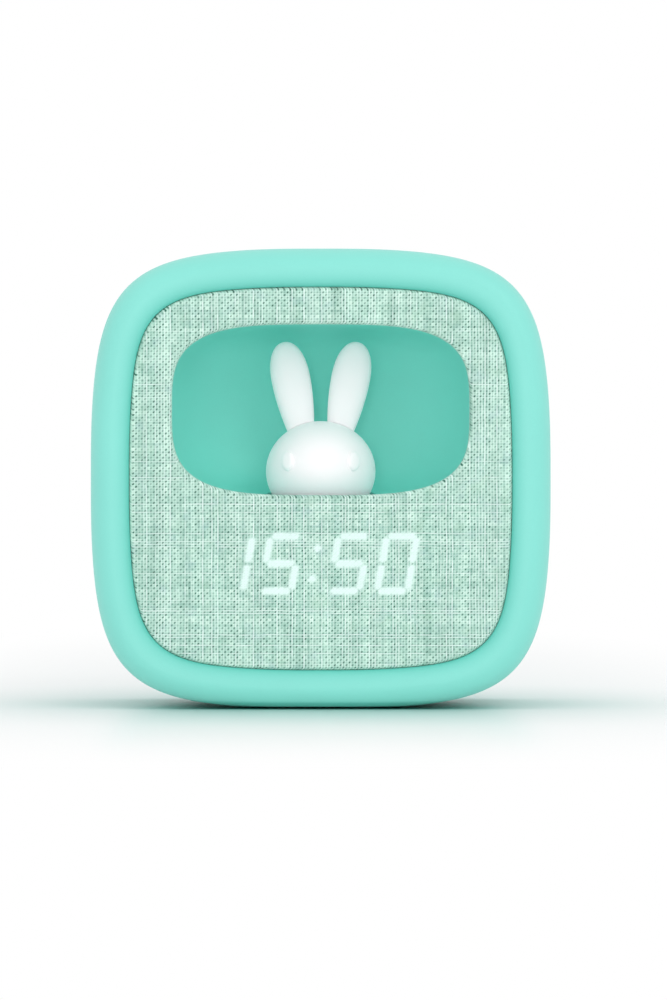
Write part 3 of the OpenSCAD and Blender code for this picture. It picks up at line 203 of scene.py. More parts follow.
class Plan:
    """Places of the clock's pieces in millimetres, from the frame's boxes and the sizes above"""

    def __init__(self, context):
        sizes = context.scene.clock_sizes
        for name in sizes.__annotations__:
            value = getattr(sizes, name)
            is_length = sizes.bl_rna.properties[name].unit == "LENGTH"
            setattr(self, name, value / MM if is_length else value)
        (left, front, _), (right, parting, top) = self.box("housing")
        self.width, self.height = right - left, top
        self.front_y, self.parting_y = front, parting
        self.rear_y = self.box("rear_cover")[1].y
        self.taper_start_y = self.front_y + self.shoulder
        self.centre_z = self.height / 2
        self.cloth_y = self.box("cloth_cover")[0].y
        self.cloth_inset = self.width / 2 + self.box("cloth_cover")[0].x
        self.panel_y = self.cloth_y + self.linen
        self.panel_back_y = self.panel_y + self.panel
        self.ledge_y = self.panel_back_y + self.linen
        self.ledge_back_y = self.ledge_y + 2
        niche_lo, niche_hi = self.box("niche_liner")
        self.window_z = (niche_lo.z + niche_hi.z) / 2
        head_lo, head_hi = self.box("rabbit_head")
        self.rabbit_y = (head_lo.y + head_hi.y) / 2
        self.head_r = (head_hi.x - head_lo.x) / 2
        self.head_rz = (head_hi.z - head_lo.z) / (1 + math.sin(math.radians(60)))
        self.crown_z, self.neck_z = head_hi.z, head_lo.z
        self.head_z = self.crown_z - self.head_rz

    @staticmethod
    def box(node):
        """Corners of a CAD node in millimetres"""
        return tuple(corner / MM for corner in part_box(node))

    def middle(self, node):
        """Middle of a CAD node's box"""
        lo, hi = self.box(node)
        return (lo + hi) / 2

    def corners(self, node, inset, level=False):
        """Four places set in from the corners of a node's box, as (x, z), or as (x, y) for a level part"""
        lo, hi = self.box(node)
        low, high = (lo.y, hi.y) if level else (lo.z, hi.z)
        return [(x, end) for x in (lo.x + inset, hi.x - inset) for end in (low + inset, high - inset)]

    def drawn_in(self, y):
        """How much the body has drawn in at a depth"""
        return self.taper * max(0, y - self.taper_start_y) / (self.rear_y - self.taper_start_y)

    def body_ring(self, inset, y):
        """Outline of the body at a depth, set in from its widest outline"""
        t = self.drawn_in(y)
        share = min(1, inset / self.rim)
        rear = min(1, max(0, (y - self.ledge_back_y) / (self.parting_y - self.ledge_back_y)))
        goal = self.opening_power + (self.rear_power - self.opening_power) * rear
        power = self.body_power + (goal - self.body_power) * share
        bow = self.side_bow + (self.opening_bow * (1 - rear) - self.side_bow) * share
        outline = superellipse(self.width / 2 - inset - t, self.height / 2 - inset - t, power, bow=bow)
        return upright(outline, y, z=self.centre_z - t)

    def window_ring(self, grow, y):
        """Outline of the window, grown by an amount"""
        outline = superellipse(self.window_w / 2 + grow, self.window_h / 2 + grow, self.window_power)
        return upright(outline, y, z=self.window_z)


# ---------------- mesh tools


def mesh_object(name, points, faces):
    """A mesh object from points in millimetres, with its faces turned outwards"""
    mesh = bpy.data.meshes.new(name)
    mesh.from_pydata([tuple(MM * float(c) for c in p) for p in points], [], [tuple(f) for f in faces])
    work = bmesh.new()
    work.from_mesh(mesh)
    bmesh.ops.recalc_face_normals(work, faces=work.faces)
    work.to_mesh(mesh)
    work.free()
    piece = bpy.data.objects.new(name, mesh)
    bpy.context.scene.collection.objects.link(piece)
    return piece


def loft(name, rings, loop=False):
    """Skin over a row of rings, capped at both ends or closed into a loop"""
    rows, count = len(rings), len(rings[0])
    faces = []
    for i in range(rows if loop else rows - 1):
        a, b = i * count, (i + 1) % rows * count
        faces += [(a + j, a + (j + 1) % count, b + (j + 1) % count, b + j) for j in range(count)]
    if not loop:
        faces += [tuple(reversed(range(count))), tuple(range((rows - 1) * count, rows * count))]
    return mesh_object(name, np.concatenate(rings), faces)


def turned(name, profile, x=0.0, z=0.0, count=ROUND):
    """A part turned about an axis along Y: its profile is a list of (radius, y)"""
    return loft(name, [upright(circle(r, count), y, x, z) for r, y in profile])


def pillar(name, profile, x, y, count=ROUND):
    """A part turned about an upright axis: its profile is a list of (radius, z)"""
    return loft(name, [np.array([(x + px, y + py, z) for px, py in circle(r, count)]) for r, z in profile])


def block(name, low, high):
    """A box between two corners"""
    (x0, y0, z0), (x1, y1, z1) = low, high
    ring = [(x0, z0), (x1, z0), (x1, z1), (x0, z1)]
    return loft(name, [upright(ring, y0), upright(ring, y1)])


def bake_modifiers(piece):
    """Turns a piece's modifiers into its mesh"""
    graph = bpy.context.evaluated_depsgraph_get()
    mesh = bpy.data.meshes.new_from_object(piece.evaluated_get(graph))
    piece.modifiers.clear()
    piece.data = mesh
    mesh.name = piece.name


def combine(piece, operation, tools):
    """Adds tools to a piece or cuts them out of it. The tools are used up."""
    for tool in tools:
        step = piece.modifiers.new("Combine", "BOOLEAN")
        step.operation, step.solver, step.object = operation, "MANIFOLD", tool
    bake_modifiers(piece)
    for tool in tools:
        bpy.data.objects.remove(tool)


def smooth(piece, angle=34):
    """Smooth shading that keeps edges sharper than an angle in degrees"""
    piece.data.shade_smooth()
    piece.data.set_sharp_from_angle(angle=math.radians(angle))
    step = piece.modifiers.new("Even normals", "WEIGHTED_NORMAL")
    step.keep_sharp = True
    bake_modifiers(piece)


def dress(piece, body, slot, finish, *nodes):
    """Gives a piece its finish and fixes it to a body of the frame, in place of CAD nodes"""
    piece.data.materials.clear()
    piece.data.materials.append(finish)
    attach(piece, body)
    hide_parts(*nodes)


# ---------------- pieces


class CLOCK_OT_casing(Operator):
    """Model the rim, the sides and the base as one shell"""

    bl_idname = "clock.casing"
    bl_label = "Casing"

    @staticmethod
    def profile(plan):
        """Section of the shell as (inset, y), from the ledge round the rim to the inside"""
        crest, rim, wall, front = plan.rim_crest, plan.rim, plan.wall, plan.front_y
        inside = rim - 2
        inner_round = [(wall + (crest - wall) * (1 - c), front + wall + (plan.shoulder - wall) * (1 - s))
                       for s, c in arc(0, 90, 12)]
        return [
            (rim + plan.ledge, plan.ledge_y), (rim, plan.ledge_y), (rim, front + plan.rim_roll + 0.3),
            *[(crest + (rim - crest) * s, front + plan.rim_roll * (1 - c)) for s, c in arc(90, 4, 16)],
            *[(crest * (1 - c), front + plan.shoulder * (1 - s)) for s, c in arc(90, 0, 26)],
            *[(0, y) for y in np.linspace(plan.taper_start_y, plan.parting_y - 0.35, 7)[1:]],
            (0.1, plan.parting_y - 0.1), (0.35, plan.parting_y), (wall, plan.parting_y),
            *inner_round, (inside, front + wall + 0.8), (inside, plan.ledge_back_y),
            (rim + plan.ledge, plan.ledge_back_y),
        ]

    def execute(self, context):
        plan = Plan(context)
        shell = loft("casing", [plan.body_ring(inset, y) for inset, y in self.profile(plan)], loop=True)
        parting, screws = plan.parting_y, plan.corners("cover_screws", COVER_SCREW_R)
        board_posts, ribs = self.board_posts(plan), self.battery_ribs(plan)
        self.clip(plan, board_posts + ribs)
        screw_r, thread_r, thread_depth = 3.5, 1.52, 11
        screw_posts = [turned("post", [(screw_r, plan.ledge_back_y - 1), (screw_r, parting)], x, z)
                       for x, z in screws]
        combine(shell, "UNION", board_posts + screw_posts + self.lift_pads(plan) + ribs)
        half, foot_r, foot_depth = plan.width / 2 + 1, FOOT_R + 0.05, 1.1
        holes = [block("base", (-half, plan.front_y - 1, -2), (half, plan.rear_y + 1, plan.base_flat))]
        holes += [pillar("foot", [(foot_r, -1), (foot_r, foot_depth)], x, y)
                  for x, y in plan.corners("feet", FOOT_R, level=True)]
        holes += [turned("bore", [(thread_r, parting - thread_depth), (thread_r, parting + 1)], x, z)
                  for x, z in screws]
        combine(shell, "DIFFERENCE", holes)
        smooth(shell)
        dress(shell, "case", "shell", shell_finish(context), "housing")
        return {"FINISHED"}

    @staticmethod
    def board_posts(plan):
        """Posts under the power board"""
        r, top = 2.2, plan.box("power_board")[0].z
        return [pillar("post", [(r, 0), (r, top)], x, y)
                for x, y in plan.corners("power_screws", POWER_SCREW_R, level=True)]

    @staticmethod
    def battery_ribs(plan):
        """Two ribs that hold the battery's pad off the side"""
        lo, hi = plan.box("battery_pad")
        thick, inset = 2, 4
        return [block("rib", (-plan.width / 2, y, lo.z), (lo.x, y + thick, hi.z))
                for y in (lo.y + inset, hi.y - inset - thick)]

    @staticmethod
    def lift_pads(plan):
        """Two pads on the floor that the lift's frame stands on"""
        lo, hi = plan.box("lift_frame")
        pad_x, half, bottom = plan.box("guide_rods")[1].x + 3.6, 3, 1.5
        return [block("pad", (x - half, lo.y - 1, bottom), (x + half, hi.y + 1, lo.z))
                for x in (-pad_x, pad_x)]

    @staticmethod
    def clip(plan, posts):
        """Cuts posts off where they would stand out of the shell"""
        ends = [plan.body_ring(plan.wall / 2, y) for y in (plan.ledge_back_y, plan.parting_y)]
        for post in posts:
            combine(post, "INTERSECT", [loft("room", ends)])


class CLOCK_OT_rear_shell(Operator):
    """Model the rear shell with its control pocket, grille, inlet and screw wells"""

    bl_idname = "clock.rear_shell"
    bl_label = "Rear shell"

    # Width, height and corner radius of the rounded forms
    PAD, POCKET, SLOT, INLET = (88, 18, 4), (84, 14, 3), (7.8, 3.2, 0.4), (9.44, 3.76, 1.87)

    @staticmethod
    def dish(plan):
        """Section of the shell as (inset, y), from the inside of its back round the lip to the outside"""
        wall, edge, lip, lap = plan.wall, plan.rear_round, plan.wall + 1.6, plan.wall + 0.15
        back, front, lap_y = plan.rear_y, plan.parting_y, plan.parting_y - 2.5
        inner_round = [(lip + (edge - lip) * (1 - c), back - wall - (edge - wall) * (1 - s))
                       for s, c in arc(90, 0, 14)]
        return [
            *inner_round, (lip, lap_y), (lap, lap_y), (lap, front + 0.3),
            (0.35, front + 0.3), (0.1, front + 0.4), (0, front + 0.65),
            *[(edge * (1 - c), back - edge * (1 - s)) for s, c in arc(0, 90, 30)],
        ]

    def execute(self, context):
        plan = Plan(context)
        shell = loft("rear_shell", [plan.body_ring(inset, y) for inset, y in self.dish(plan)])
        combine(shell, "UNION", self.additions(plan))
        for cut in self.cuts(plan):
            combine(shell, "DIFFERENCE", [cut])
        smooth(shell)
        dress(shell, "case", "shell", shell_finish(context), "rear_cover")
        return {"FINISHED"}

    def additions(self, plan):
        """Loudspeaker ring, pad behind the pocket, screw tubes and board posts"""
        face, into_wall, tube_r, post_r = plan.rear_y - plan.wall, plan.rear_y - 1.2, 4.2, 2.2
        speaker, (low, high) = plan.middle("speaker_frame"), plan.box("speaker_frame")
        r, start = (high.x - low.x) / 2, high.y - 3
        ring = turned("ring", [(r + 1.8, start), (r + 1.8, into_wall)], speaker.x, speaker.z)
        bore = turned("bore", [(r + 0.2, start - 1), (r + 0.2, face)], speaker.x, speaker.z)
        combine(ring, "DIFFERENCE", [bore])
        pad_back, key_z = self.pad_place(plan)
        pad = self.slab("pad", self.PAD, [(0, pad_back), (0, into_wall)], key_z)
        tubes = [turned("tube", [(tube_r, plan.parting_y + 0.05), (tube_r, face)], x, z)
                 for x, z in plan.corners("cover_screws", COVER_SCREW_R)]
        board_back = plan.box("control_board")[1].y
        posts = [turned("post", [(post_r, board_back), (post_r, into_wall)], x, z)
                 for x, z in self.board_posts(plan)]
        return [ring, pad, *tubes, *posts]

    def cuts(self, plan):
        """Underside, pocket, holes for buttons and slider, grille, screw wells, bores and inlet"""
        back, face, parting = plan.rear_y, plan.rear_y - plan.wall, plan.parting_y
        floor, seat, board_back = back - 1.4, back - 7.5, plan.box("control_board")[1].y
        pad_back, key_z = self.pad_place(plan)
        lead_in = [(0, back - 0.4), (0.1, back - 0.15), (0.4, back), (0.4, back + 1)]
        pocket = [(-0.25, floor), (0, floor + 0.25), *lead_in]
        key_hole = [(4.2, pad_back - 1), (4.2, floor - 0.25), (4.45, floor), (4.45, back)]
        slot = [(0, pad_back - 1), (0, floor - 0.2), (0.2, floor), (0.2, back)]
        sound_hole = [(0.9, face - 1), (0.9, back - 0.3), (1.2, back), (1.2, back + 1)]
        well = [(1.7, parting - 1), (1.7, seat), (3.2, seat), (3.2, back - 0.35), (3.55, back),
                (3.55, back + 1)]
        thread = [(0.92, board_back - 1), (0.92, board_back + 6)]
        knob, inlet = plan.middle("alarm_switch_body"), plan.middle("usb_socket")
        return [
            block("base", (-plan.width, parting - 5, -2), (plan.width, back + 1, plan.base_flat)),
            self.slab("pocket", self.POCKET, pocket, key_z),
            *[turned("hole", key_hole, plan.middle("button_" + key).x, key_z) for key in KEYS],
            self.slab("slot", self.SLOT, slot, key_z, knob.x),
            *[turned("grille", sound_hole, x, z, 24) for x, z in self.grille_places(plan)],
            *[turned("well", well, x, z) for x, z in plan.corners("cover_screws", COVER_SCREW_R)],
            *[turned("bore", thread, x, z) for x, z in self.board_posts(plan)],
            self.slab("inlet", self.INLET, [(0, face - 1), *lead_in], inlet.z, inlet.x),
        ]

    @staticmethod
    def pad_place(plan):
        """Inner face of the pad behind the pocket, and the height of the buttons"""
        return plan.box("button_light")[1].y - 3.4, plan.middle("button_light").z

    @staticmethod
    def slab(name, size, stations, z, x=0.0):
        """A rounded rectangle lofted through (grow, y) stations"""
        width, height, radius = size
        return loft(name, [upright(rounded_rectangle(width + 2 * g, height + 2 * g, radius + g), y, x, z)
                           for g, y in stations])

    @staticmethod
    def board_posts(plan):
        """Axes of the three posts that carry the control board"""
        lo, hi = plan.box("board_screws")
        r = BOARD_SCREW_R
        middle = (plan.middle("button_set").x + plan.middle("button_plus").x) / 2
        return [(lo.x + r, lo.z + r), (hi.x - r, lo.z + r), (middle, hi.z - r)]

    @staticmethod
    def grille_places(plan):
        """One hole in the middle, then rings of 6, 12 and 18"""
        speaker, grille_r = plan.middle("speaker_frame"), 14
        pitch = grille_r / (plan.grille_rings - 0.5)
        places = [(speaker.x, speaker.z)]
        for k in range(1, plan.grille_rings):
            places += [(speaker.x + k * pitch * math.cos(math.radians(60 * i / k)),
                        speaker.z + k * pitch * math.sin(math.radians(60 * i / k))) for i in range(6 * k)]
        return places


class CLOCK_OT_linen(Operator):
    """Model the linen, wrapped over the panel's edge and into the window"""

    bl_idname = "clock.linen"
    bl_label = "Linen"

    def execute(self, context):
        plan = Plan(context)
        t, hem, turn, soft, reach = plan.linen, 2.5, 0.9, 0.9, 0.46
        outer, front, back = plan.cloth_inset - reach, plan.cloth_y, plan.panel_back_y
        rings = [plan.body_ring(outer + hem, plan.ledge_y), plan.body_ring(outer + 0.2, plan.ledge_y),
                 plan.body_ring(outer, plan.ledge_y - 0.2)]
        rings += [plan.body_ring(outer + soft * (1 - c), front + soft * (1 - s)) for s, c in arc(0, 90, 10)]
        rings += self.morph(plan.body_ring(outer + soft, front), plan.window_ring(turn, front), 26)
        rings += [plan.window_ring(turn * (1 - s), front + turn * (1 - c)) for s, c in arc(0, 90, 8)]
        rings += [plan.window_ring(0, back), plan.window_ring(t, back), plan.window_ring(t, plan.panel_y)]
        inner_edge = plan.body_ring(outer + soft, plan.panel_y)
        rings += self.morph(plan.window_ring(t, plan.panel_y), inner_edge, 4)
        rings += [plan.body_ring(outer + t + (soft - t) * (1 - c), front + t + (soft - t) * (1 - s))
                  for s, c in arc(90, 0, 6)]
        rings += [plan.body_ring(outer + t, back), plan.body_ring(outer + hem, back)]
        cloth = loft("linen", rings, loop=True)
        smooth(cloth, 50)
        dress(cloth, "case", "cloth", linen_finish(context, plan), "cloth_cover")
        return {"FINISHED"}

    @staticmethod
    def morph(start, end, steps):
        """Rings that turn one outline into another, both ends left out"""
        return [start + (end - start) * i / steps for i in range(1, steps)]


class CLOCK_OT_niche(Operator):
    """Model the cove behind the window, with its flange and the rabbit's round floor hole"""

    bl_idname = "clock.niche"
    bl_label = "Niche"

    def execute(self, context):
        plan = Plan(context)
        lo, hi = plan.box("niche_liner")
        wall, front, room, gap = plan.niche_wall, plan.panel_back_y, 0.8, 1.2
        carrier = plan.box("lift_frame")[0].y
        depth = carrier - gap - wall - front
        half = (plan.window_w / 2 + room, plan.window_h / 2 + room)

        def ring(grow, v):
            """Ring of the cove at a share of its depth"""
            a, b = ((h + grow) * (1 - v ** p) ** (1 / p) for h, p in zip(half, (3, 5)))
            outline = superellipse(a, b, plan.window_power, NICHE_POINTS)
            return upright(outline, front + v * (depth + grow), z=plan.window_z)

        def flange(y):
            """Ring of the flange's edge"""
            outline = superellipse((hi.x - lo.x) / 2, (hi.z - lo.z) / 2, plan.window_power, NICHE_POINTS)
            return upright(outline, y, z=plan.window_z)

        inner = [ring(0, math.sin(math.radians(a))) for a in np.linspace(89.2, 0, 42)]
        outer = [ring(wall, math.sin(math.radians(a))) for a in np.linspace(2.4, 84, 20)]
        cove = loft("niche", inner + [flange(front), flange(front + 1.6)] + outer)
        posts = plan.corners("frame_screws", BOARD_SCREW_R)
        combine(cove, "UNION", [turned("post", [(2.5, front + depth - 0.9), (2.5, carrier)], x, z)
                                for x, z in posts])
        cuts = [turned("bore", [(0.82, carrier - 2.2), (0.82, carrier + 1)], x, z) for x, z in posts]
        hole = [(plan.head_r + room, plan.window_z - 40), (plan.head_r + room, plan.head_z)]
        cuts.append(pillar("floor_hole", hole, 0, plan.rabbit_y, 128))
        combine(cove, "DIFFERENCE", cuts)
        smooth(cove)
        dress(cove, "case", "niche", slot_finish(context, "niche"), "niche_liner")
        return {"FINISHED"}


class CLOCK_OT_rabbit(Operator):
    """Model the rabbit's head and ears"""

    bl_idname = "clock.rabbit"
    bl_label = "Rabbit"

    def execute(self, context):
        plan = Plan(context)
        finish = slot_finish(context, "rabbit")
        dress(self.head(plan), "rabbit", "rabbit", finish, "rabbit_head")
        for side, name, node in ((-1, "ear_left", "left_ear"), (1, "ear_right", "right_ear")):
            dress(self.ear(plan, side, name), "rabbit", "rabbit", finish, node)
        return {"FINISHED"}

    @staticmethod
    def eye(plan, x, z):
        """A low oval pad that follows the head, from rings of (share of its size, rise above the head)"""
        half_w, half_h, proud = 1.55, 2.65, 0.75
        dome = [(1 - 0.42 * (1 - c), proud * s) for s, c in arc(20, 90, 6)]
        rings = []
        for grow, rise in [(1, -0.6), (1, 0.0), *dome, (0.3, proud + 0.03)]:
            ring = []
            for px, pz in circle(1, 40):
                up = (z + half_h * grow * pz - plan.head_z) / plan.head_rz
                side = (x + half_w * grow * px) / plan.head_r
                normal = Vector((side, -math.sqrt(1 - side ** 2 - up ** 2), up))
                on_head = Vector((side * plan.head_r, normal.y * plan.head_r, up * plan.head_rz))
                point = on_head + normal.normalized() * rise
                ring.append((point.x, plan.rabbit_y + point.y, plan.head_z + point.z))
            rings.append(np.array(ring))
        return loft("eye", rings)

    @staticmethod
    def skull(plan, grow, start, end, count):
        """Profile of the head between two angles, grown by an amount"""
        return [((plan.head_r + grow) * math.cos(a), plan.head_z + (plan.head_rz + grow) * math.sin(a))
                for a in np.radians(np.linspace(start, end, count))]

    def head(self, plan):
        """Hollow head, open at the neck"""
        wall, neck_r, eye_x, eye_up = 1.8, 6.2, 8.6, 2.65
        head = pillar("head", self.skull(plan, 0, -60, 89.3, 120), 0, plan.rabbit_y, 192)
        combine(head, "UNION", [self.eye(plan, x, plan.head_z + eye_up) for x in (-eye_x, eye_x)])
        neck = [(neck_r, plan.neck_z - 1), (neck_r, plan.head_z)]
        hollow = self.skull(plan, -wall, -60, 89.3, 40)
        combine(head, "DIFFERENCE", [pillar("hollow", hollow, 0, plan.rabbit_y),
                                     pillar("neck", neck, 0, plan.rabbit_y)])
        smooth(head, 40)
        return head

    def ear(self, plan, side, name):
        """One ear, seated on the head"""
        foot_y, lean = plan.rabbit_y + plan.ear_back, plan.ear_lean
        tall = (plan.window_z + plan.window_h / 2 - plan.ear_gap - plan.crown_z) / math.cos(lean)
        widest, sunk, shut_line = 0.53 * tall, 7, 0.15
        heights = [*np.linspace(-sunk, widest, 30),
                   *[widest + (tall - widest) * s for s, _ in arc(4, 88.5, 26)]]
        rings = []
        # The width is a share of the widest: it narrows towards the foot and rounds off at the tip
        for h in heights:
            if h > widest:
                w = max(0, 1 - ((h - widest) / (tall - widest)) ** 2.3) ** (1 / 2.1)
            else:
                w = 1 - 0.22 * ((widest - h) / widest) ** 1.84
            outline = superellipse(1, 1, 2.4, 72) * [plan.ear_r * w, plan.ear_rt * w ** 0.8]
            rings.append(np.array([
                (side * (plan.ear_x + h * math.sin(lean)) + x * math.cos(lean), foot_y + y,
                 plan.crown_z + h * math.cos(lean) - side * x * math.sin(lean)) for x, y in outline]))
        ear = loft(name, rings)
        seat = self.skull(plan, shut_line, -60, 89.5, 90)
        combine(ear, "DIFFERENCE", [pillar("seat", seat, 0, plan.rabbit_y, 160)])
        smooth(ear, 40)
        return ear


class CLOCK_OT_buttons(Operator):
    """Model the five rear buttons with their raised marks"""

    bl_idname = "clock.buttons"
    bl_label = "Buttons"

    def execute(self, context):
        plan = Plan(context)
        finish = shell_finish(context)
        marks = {"light": self.sun, "minus": self.minus, "set": self.dots, "plus": self.plus,
                 "alarm": self.bell}
        radius = 4.0
        for key in KEYS:
            node = "button_" + key
            lo, hi = plan.box(node)
            x, z = (lo.x + hi.x) / 2, (lo.z + hi.z) / 2
            flange, top = (hi.x - lo.x) / 2, hi.y
            cap = turned("key_" + key, [
                (flange, lo.y), (flange, lo.y + 0.9), (flange - 0.1, lo.y + 1), (radius, lo.y + 1),
                *[(radius - 0.5 * (1 - c), top - 0.5 + 0.5 * s) for s, c in arc(0, 90, 6)],
                (radius - 1.2, top - 0.05), (radius - 2.2, top - 0.16), (0.4, top - 0.24)], x, z)
            for outline in marks[key]():
                combine(cap, "UNION", [self.mark(outline, x, top - 0.5, top, z)])
            smooth(cap)
            dress(cap, "key_" + key, "shell", finish, node)
        return {"FINISHED"}

    @staticmethod
    def mark(outline, x, start, end, z):
        """A raised mark that narrows a little towards its top, mirrored to read right from behind"""
        shape = np.array([(-px, pz) for px, pz in outline])
        centre = shape.mean(axis=0)
        return loft("mark", [upright(centre + (shape - centre) * grow, y, x, z)
                             for grow, y in ((1.06, start), (1.0, end - 0.1), (0.9, end))])

    @staticmethod
    def bar(width, height):
        """A bar with round corners"""
        return rounded_rectangle(width, height, 0.28, 4)

    def minus(self):
        """A short bar"""
        return [self.bar(3.0, 0.7)]

    def plus(self):
        """A cross"""
        return [self.bar(3.0, 0.7), self.bar(0.7, 3.0)]

    @staticmethod
    def dots():
        """Three dots in a row"""
        return [circle(0.42, 20) + [dx, 0] for dx in (-1.25, 0, 1.25)]

    @staticmethod
    def sun():
        """A small sun: a disc with eight rays"""
        rays = [circle(0.2, 12) + [1.55 * c, 1.55 * s] for s, c in arc(0, 315, 7)]
        return [circle(0.85, 32), *rays]

    @staticmethod
    def bell():
        """A small bell over its clapper"""
        dome = [(0.85 * math.cos(a), 0.35 + 0.85 * math.sin(a)) for a in np.linspace(0, math.pi, 13)]
        bell = np.array([(1.4, -0.85), (1.0, -0.4), *dome, (-1.0, -0.4), (-1.4, -0.85)])
        clapper = circle(0.34, 16) + [0, -1.4]
        return [bell, clapper]


class CLOCK_OT_alarm_slider(Operator):
    """Model the ribbed knob of the alarm switch"""

    bl_idname = "clock.alarm_slider"
    bl_label = "Alarm slider"

    def execute(self, context):
        plan = Plan(context)
        lo, hi = plan.box("alarm_switch_knob")
        x, z = (lo.x + hi.x) / 2, (lo.z + hi.z) / 2
        slab = CLOCK_OT_rear_shell.slab
        stem = [(0, lo.y), (0, hi.y - 0.3), (-0.08, hi.y - 0.1), (-0.3, hi.y)]
        knob = slab("slider", (3.4, 2.8, 0.35), stem, z, x)
        base = slab("base", (hi.x - lo.x, hi.z - lo.z, 0.3), [(0, lo.y + 1.05), (0, lo.y + 2)], z, x)
        combine(knob, "UNION", [base])
        grooves = [block("groove", (x + dx - 0.18, hi.y - 0.3, z - 2), (x + dx + 0.18, hi.y + 1, z + 2))
                   for dx in (-0.9, 0, 0.9)]
        combine(knob, "DIFFERENCE", grooves)
        smooth(knob)
        dress(knob, "alarm_switch", "white_part", slot_finish(context, "white_part"), "alarm_switch_knob")
        return {"FINISHED"}


class CLOCK_OT_feet(Operator):
    """Model the four rubber feet"""

    bl_idname = "clock.feet"
    bl_label = "Feet"

    def execute(self, context):
        plan = Plan(context)
        top = plan.box("feet")[1].z
        profile = [(1.2, 0.25), (1.7, 0.25), (2.0, 0), (3.5, 0), (3.82, 0.1), (3.97, 0.3), (3.97, top)]
        for index, (x, y) in enumerate(plan.corners("feet", FOOT_R, level=True)):
            foot = pillar(f"foot_{index}", profile, x, y, 96)
            smooth(foot)
            dress(foot, "case", "rubber", slot_finish(context, "rubber"), "feet")
        return {"FINISHED"}


class CLOCK_OT_inner_parts(Operator):
    """Finish the inner parts that the frame carries: boards, lift, motor, loudspeaker and battery"""

    bl_idname = "clock.inner_parts"
    bl_label = "Inner parts"

    def execute(self, context):
        slots = {row["node"]: row["material_slot"] for row in frame["record"]["subparts"]}
        for node, part in frame["nodes"].items():
            part.data.materials.clear()
            part.data.materials.append(slot_finish(context, slots[node]))
        return {"FINISHED"}


# ---------------- shader tools


class Graph:
    """Short ways to add and join the nodes of one tree"""

    def __init__(self, tree):
        self.tree = tree

    def add(self, kind, *values, **settings):
        """Add a node, give it its settings and feed its inputs in order"""
        node = self.tree.nodes.new("ShaderNode" + kind)
        for name, value in settings.items():
            setattr(node, name, value)
        for socket, value in zip(node.inputs, values):
            self.feed(socket, value)
        return node

    def feed(self, socket, value):
        """Join a socket to a source, or set it"""
        if isinstance(value, bpy.types.NodeSocket):
            self.tree.links.new(value, socket)
        elif value is not None:
            socket.default_value = (*value, 1) if socket.type == "RGBA" and len(value) == 3 else value

    def math(self, operation, *values):
        """A number worked out from others"""
        return self.add("Math", *values, operation=operation).outputs[0]

    def chain(self, operation, values):
        """One operation over a row of numbers"""
        result = values[0]
        for value in values[1:]:
            result = self.math(operation, result, value)
        return result

    def plus(self, *values):
        """Sum of numbers"""
        return self.chain("ADD", values)

    def times(self, *values):
        """Product of numbers"""
        return self.chain("MULTIPLY", values)

    def highest(self, *values):
        """Highest of some numbers"""
        return self.chain("MAXIMUM", values)

    def lowest(self, *values):
        """Lowest of some numbers"""
        return self.chain("MINIMUM", values)

    def minus(self, value, less):
        """Difference of two numbers"""
        return self.math("SUBTRACT", value, less)

    def over(self, value, divisor):
        """Quotient of two numbers"""
        return self.math("DIVIDE", value, divisor)

    def line(self, value, slope, start):
        """A number times a slope, plus a start"""
        return self.math("MULTIPLY_ADD", value, slope, start)

    def power(self, value, exponent):
        """A number to a power"""
        return self.math("POWER", value, exponent)

    def size(self, value):
        """A number without its sign"""
        return self.math("ABSOLUTE", value)

    def vector(self, operation, *values):
        """A vector worked out from others"""
        return self.add("VectorMath", *values, operation=operation).outputs[0]

    def pack(self, x, y, z):
        """A vector from three numbers"""
        return self.add("CombineXYZ", x, y, z).outputs[0]

    def split(self, vector):
        """Three numbers from a vector"""
        return self.add("SeparateXYZ", vector).outputs

    def mix(self, share, first, second, blend="MIX"):
        """A colour between two colours"""
        node = self.add("Mix", data_type="RGBA", blend_type=blend)
        for index, value in ((0, share), (6, first), (7, second)):
            self.feed(node.inputs[index], value)
        return node.outputs[2]

    def shade(self, colour, tone):
        """A colour made lighter or darker by a number"""
        return self.mix(1.0, colour, self.pack(tone, tone, tone), "MULTIPLY")

    def span(self, value, low, high, new_low=0.0, new_high=1.0, curve="SMOOTHSTEP"):
        """A number moved from one range to another"""
        node = self.add("MapRange", value, low, high, new_low, new_high, interpolation_type=curve)
        return node.outputs[0]

    def noise(self, place, scale, detail=2.0):
        """Soft noise from 0 to 1"""
        node = self.add("TexNoise")
        for label, value in (("Vector", place), ("Scale", scale), ("Detail", detail)):
            self.feed(node.inputs[label], value)
        return node.outputs[0]

    def chance(self, place):
        """One even random number for each place"""
        return self.add("TexWhiteNoise", place).outputs[0]

    def place(self):
        """Place on the piece, in millimetres of the frame"""
        return self.vector("MULTIPLY", self.add("TexCoord").outputs["Object"], (1000, 1000, 1000))

    def effect(self, group, **values):
        """Place a node group; its inputs are given by name"""
        node = self.add("Group", node_tree=group)
        for label, value in values.items():
            self.feed(node.inputs[label], value)
        return node.outputs

    def relief(self, height, distance, strength=1.0):
        """Normal from a height between 0 and 1, whose depth in metres is the distance"""
        node = self.add("Bump")
        for label, value in (("Height", height), ("Distance", distance), ("Strength", strength)):
            self.feed(node.inputs[label], value)
        return node.outputs[0]


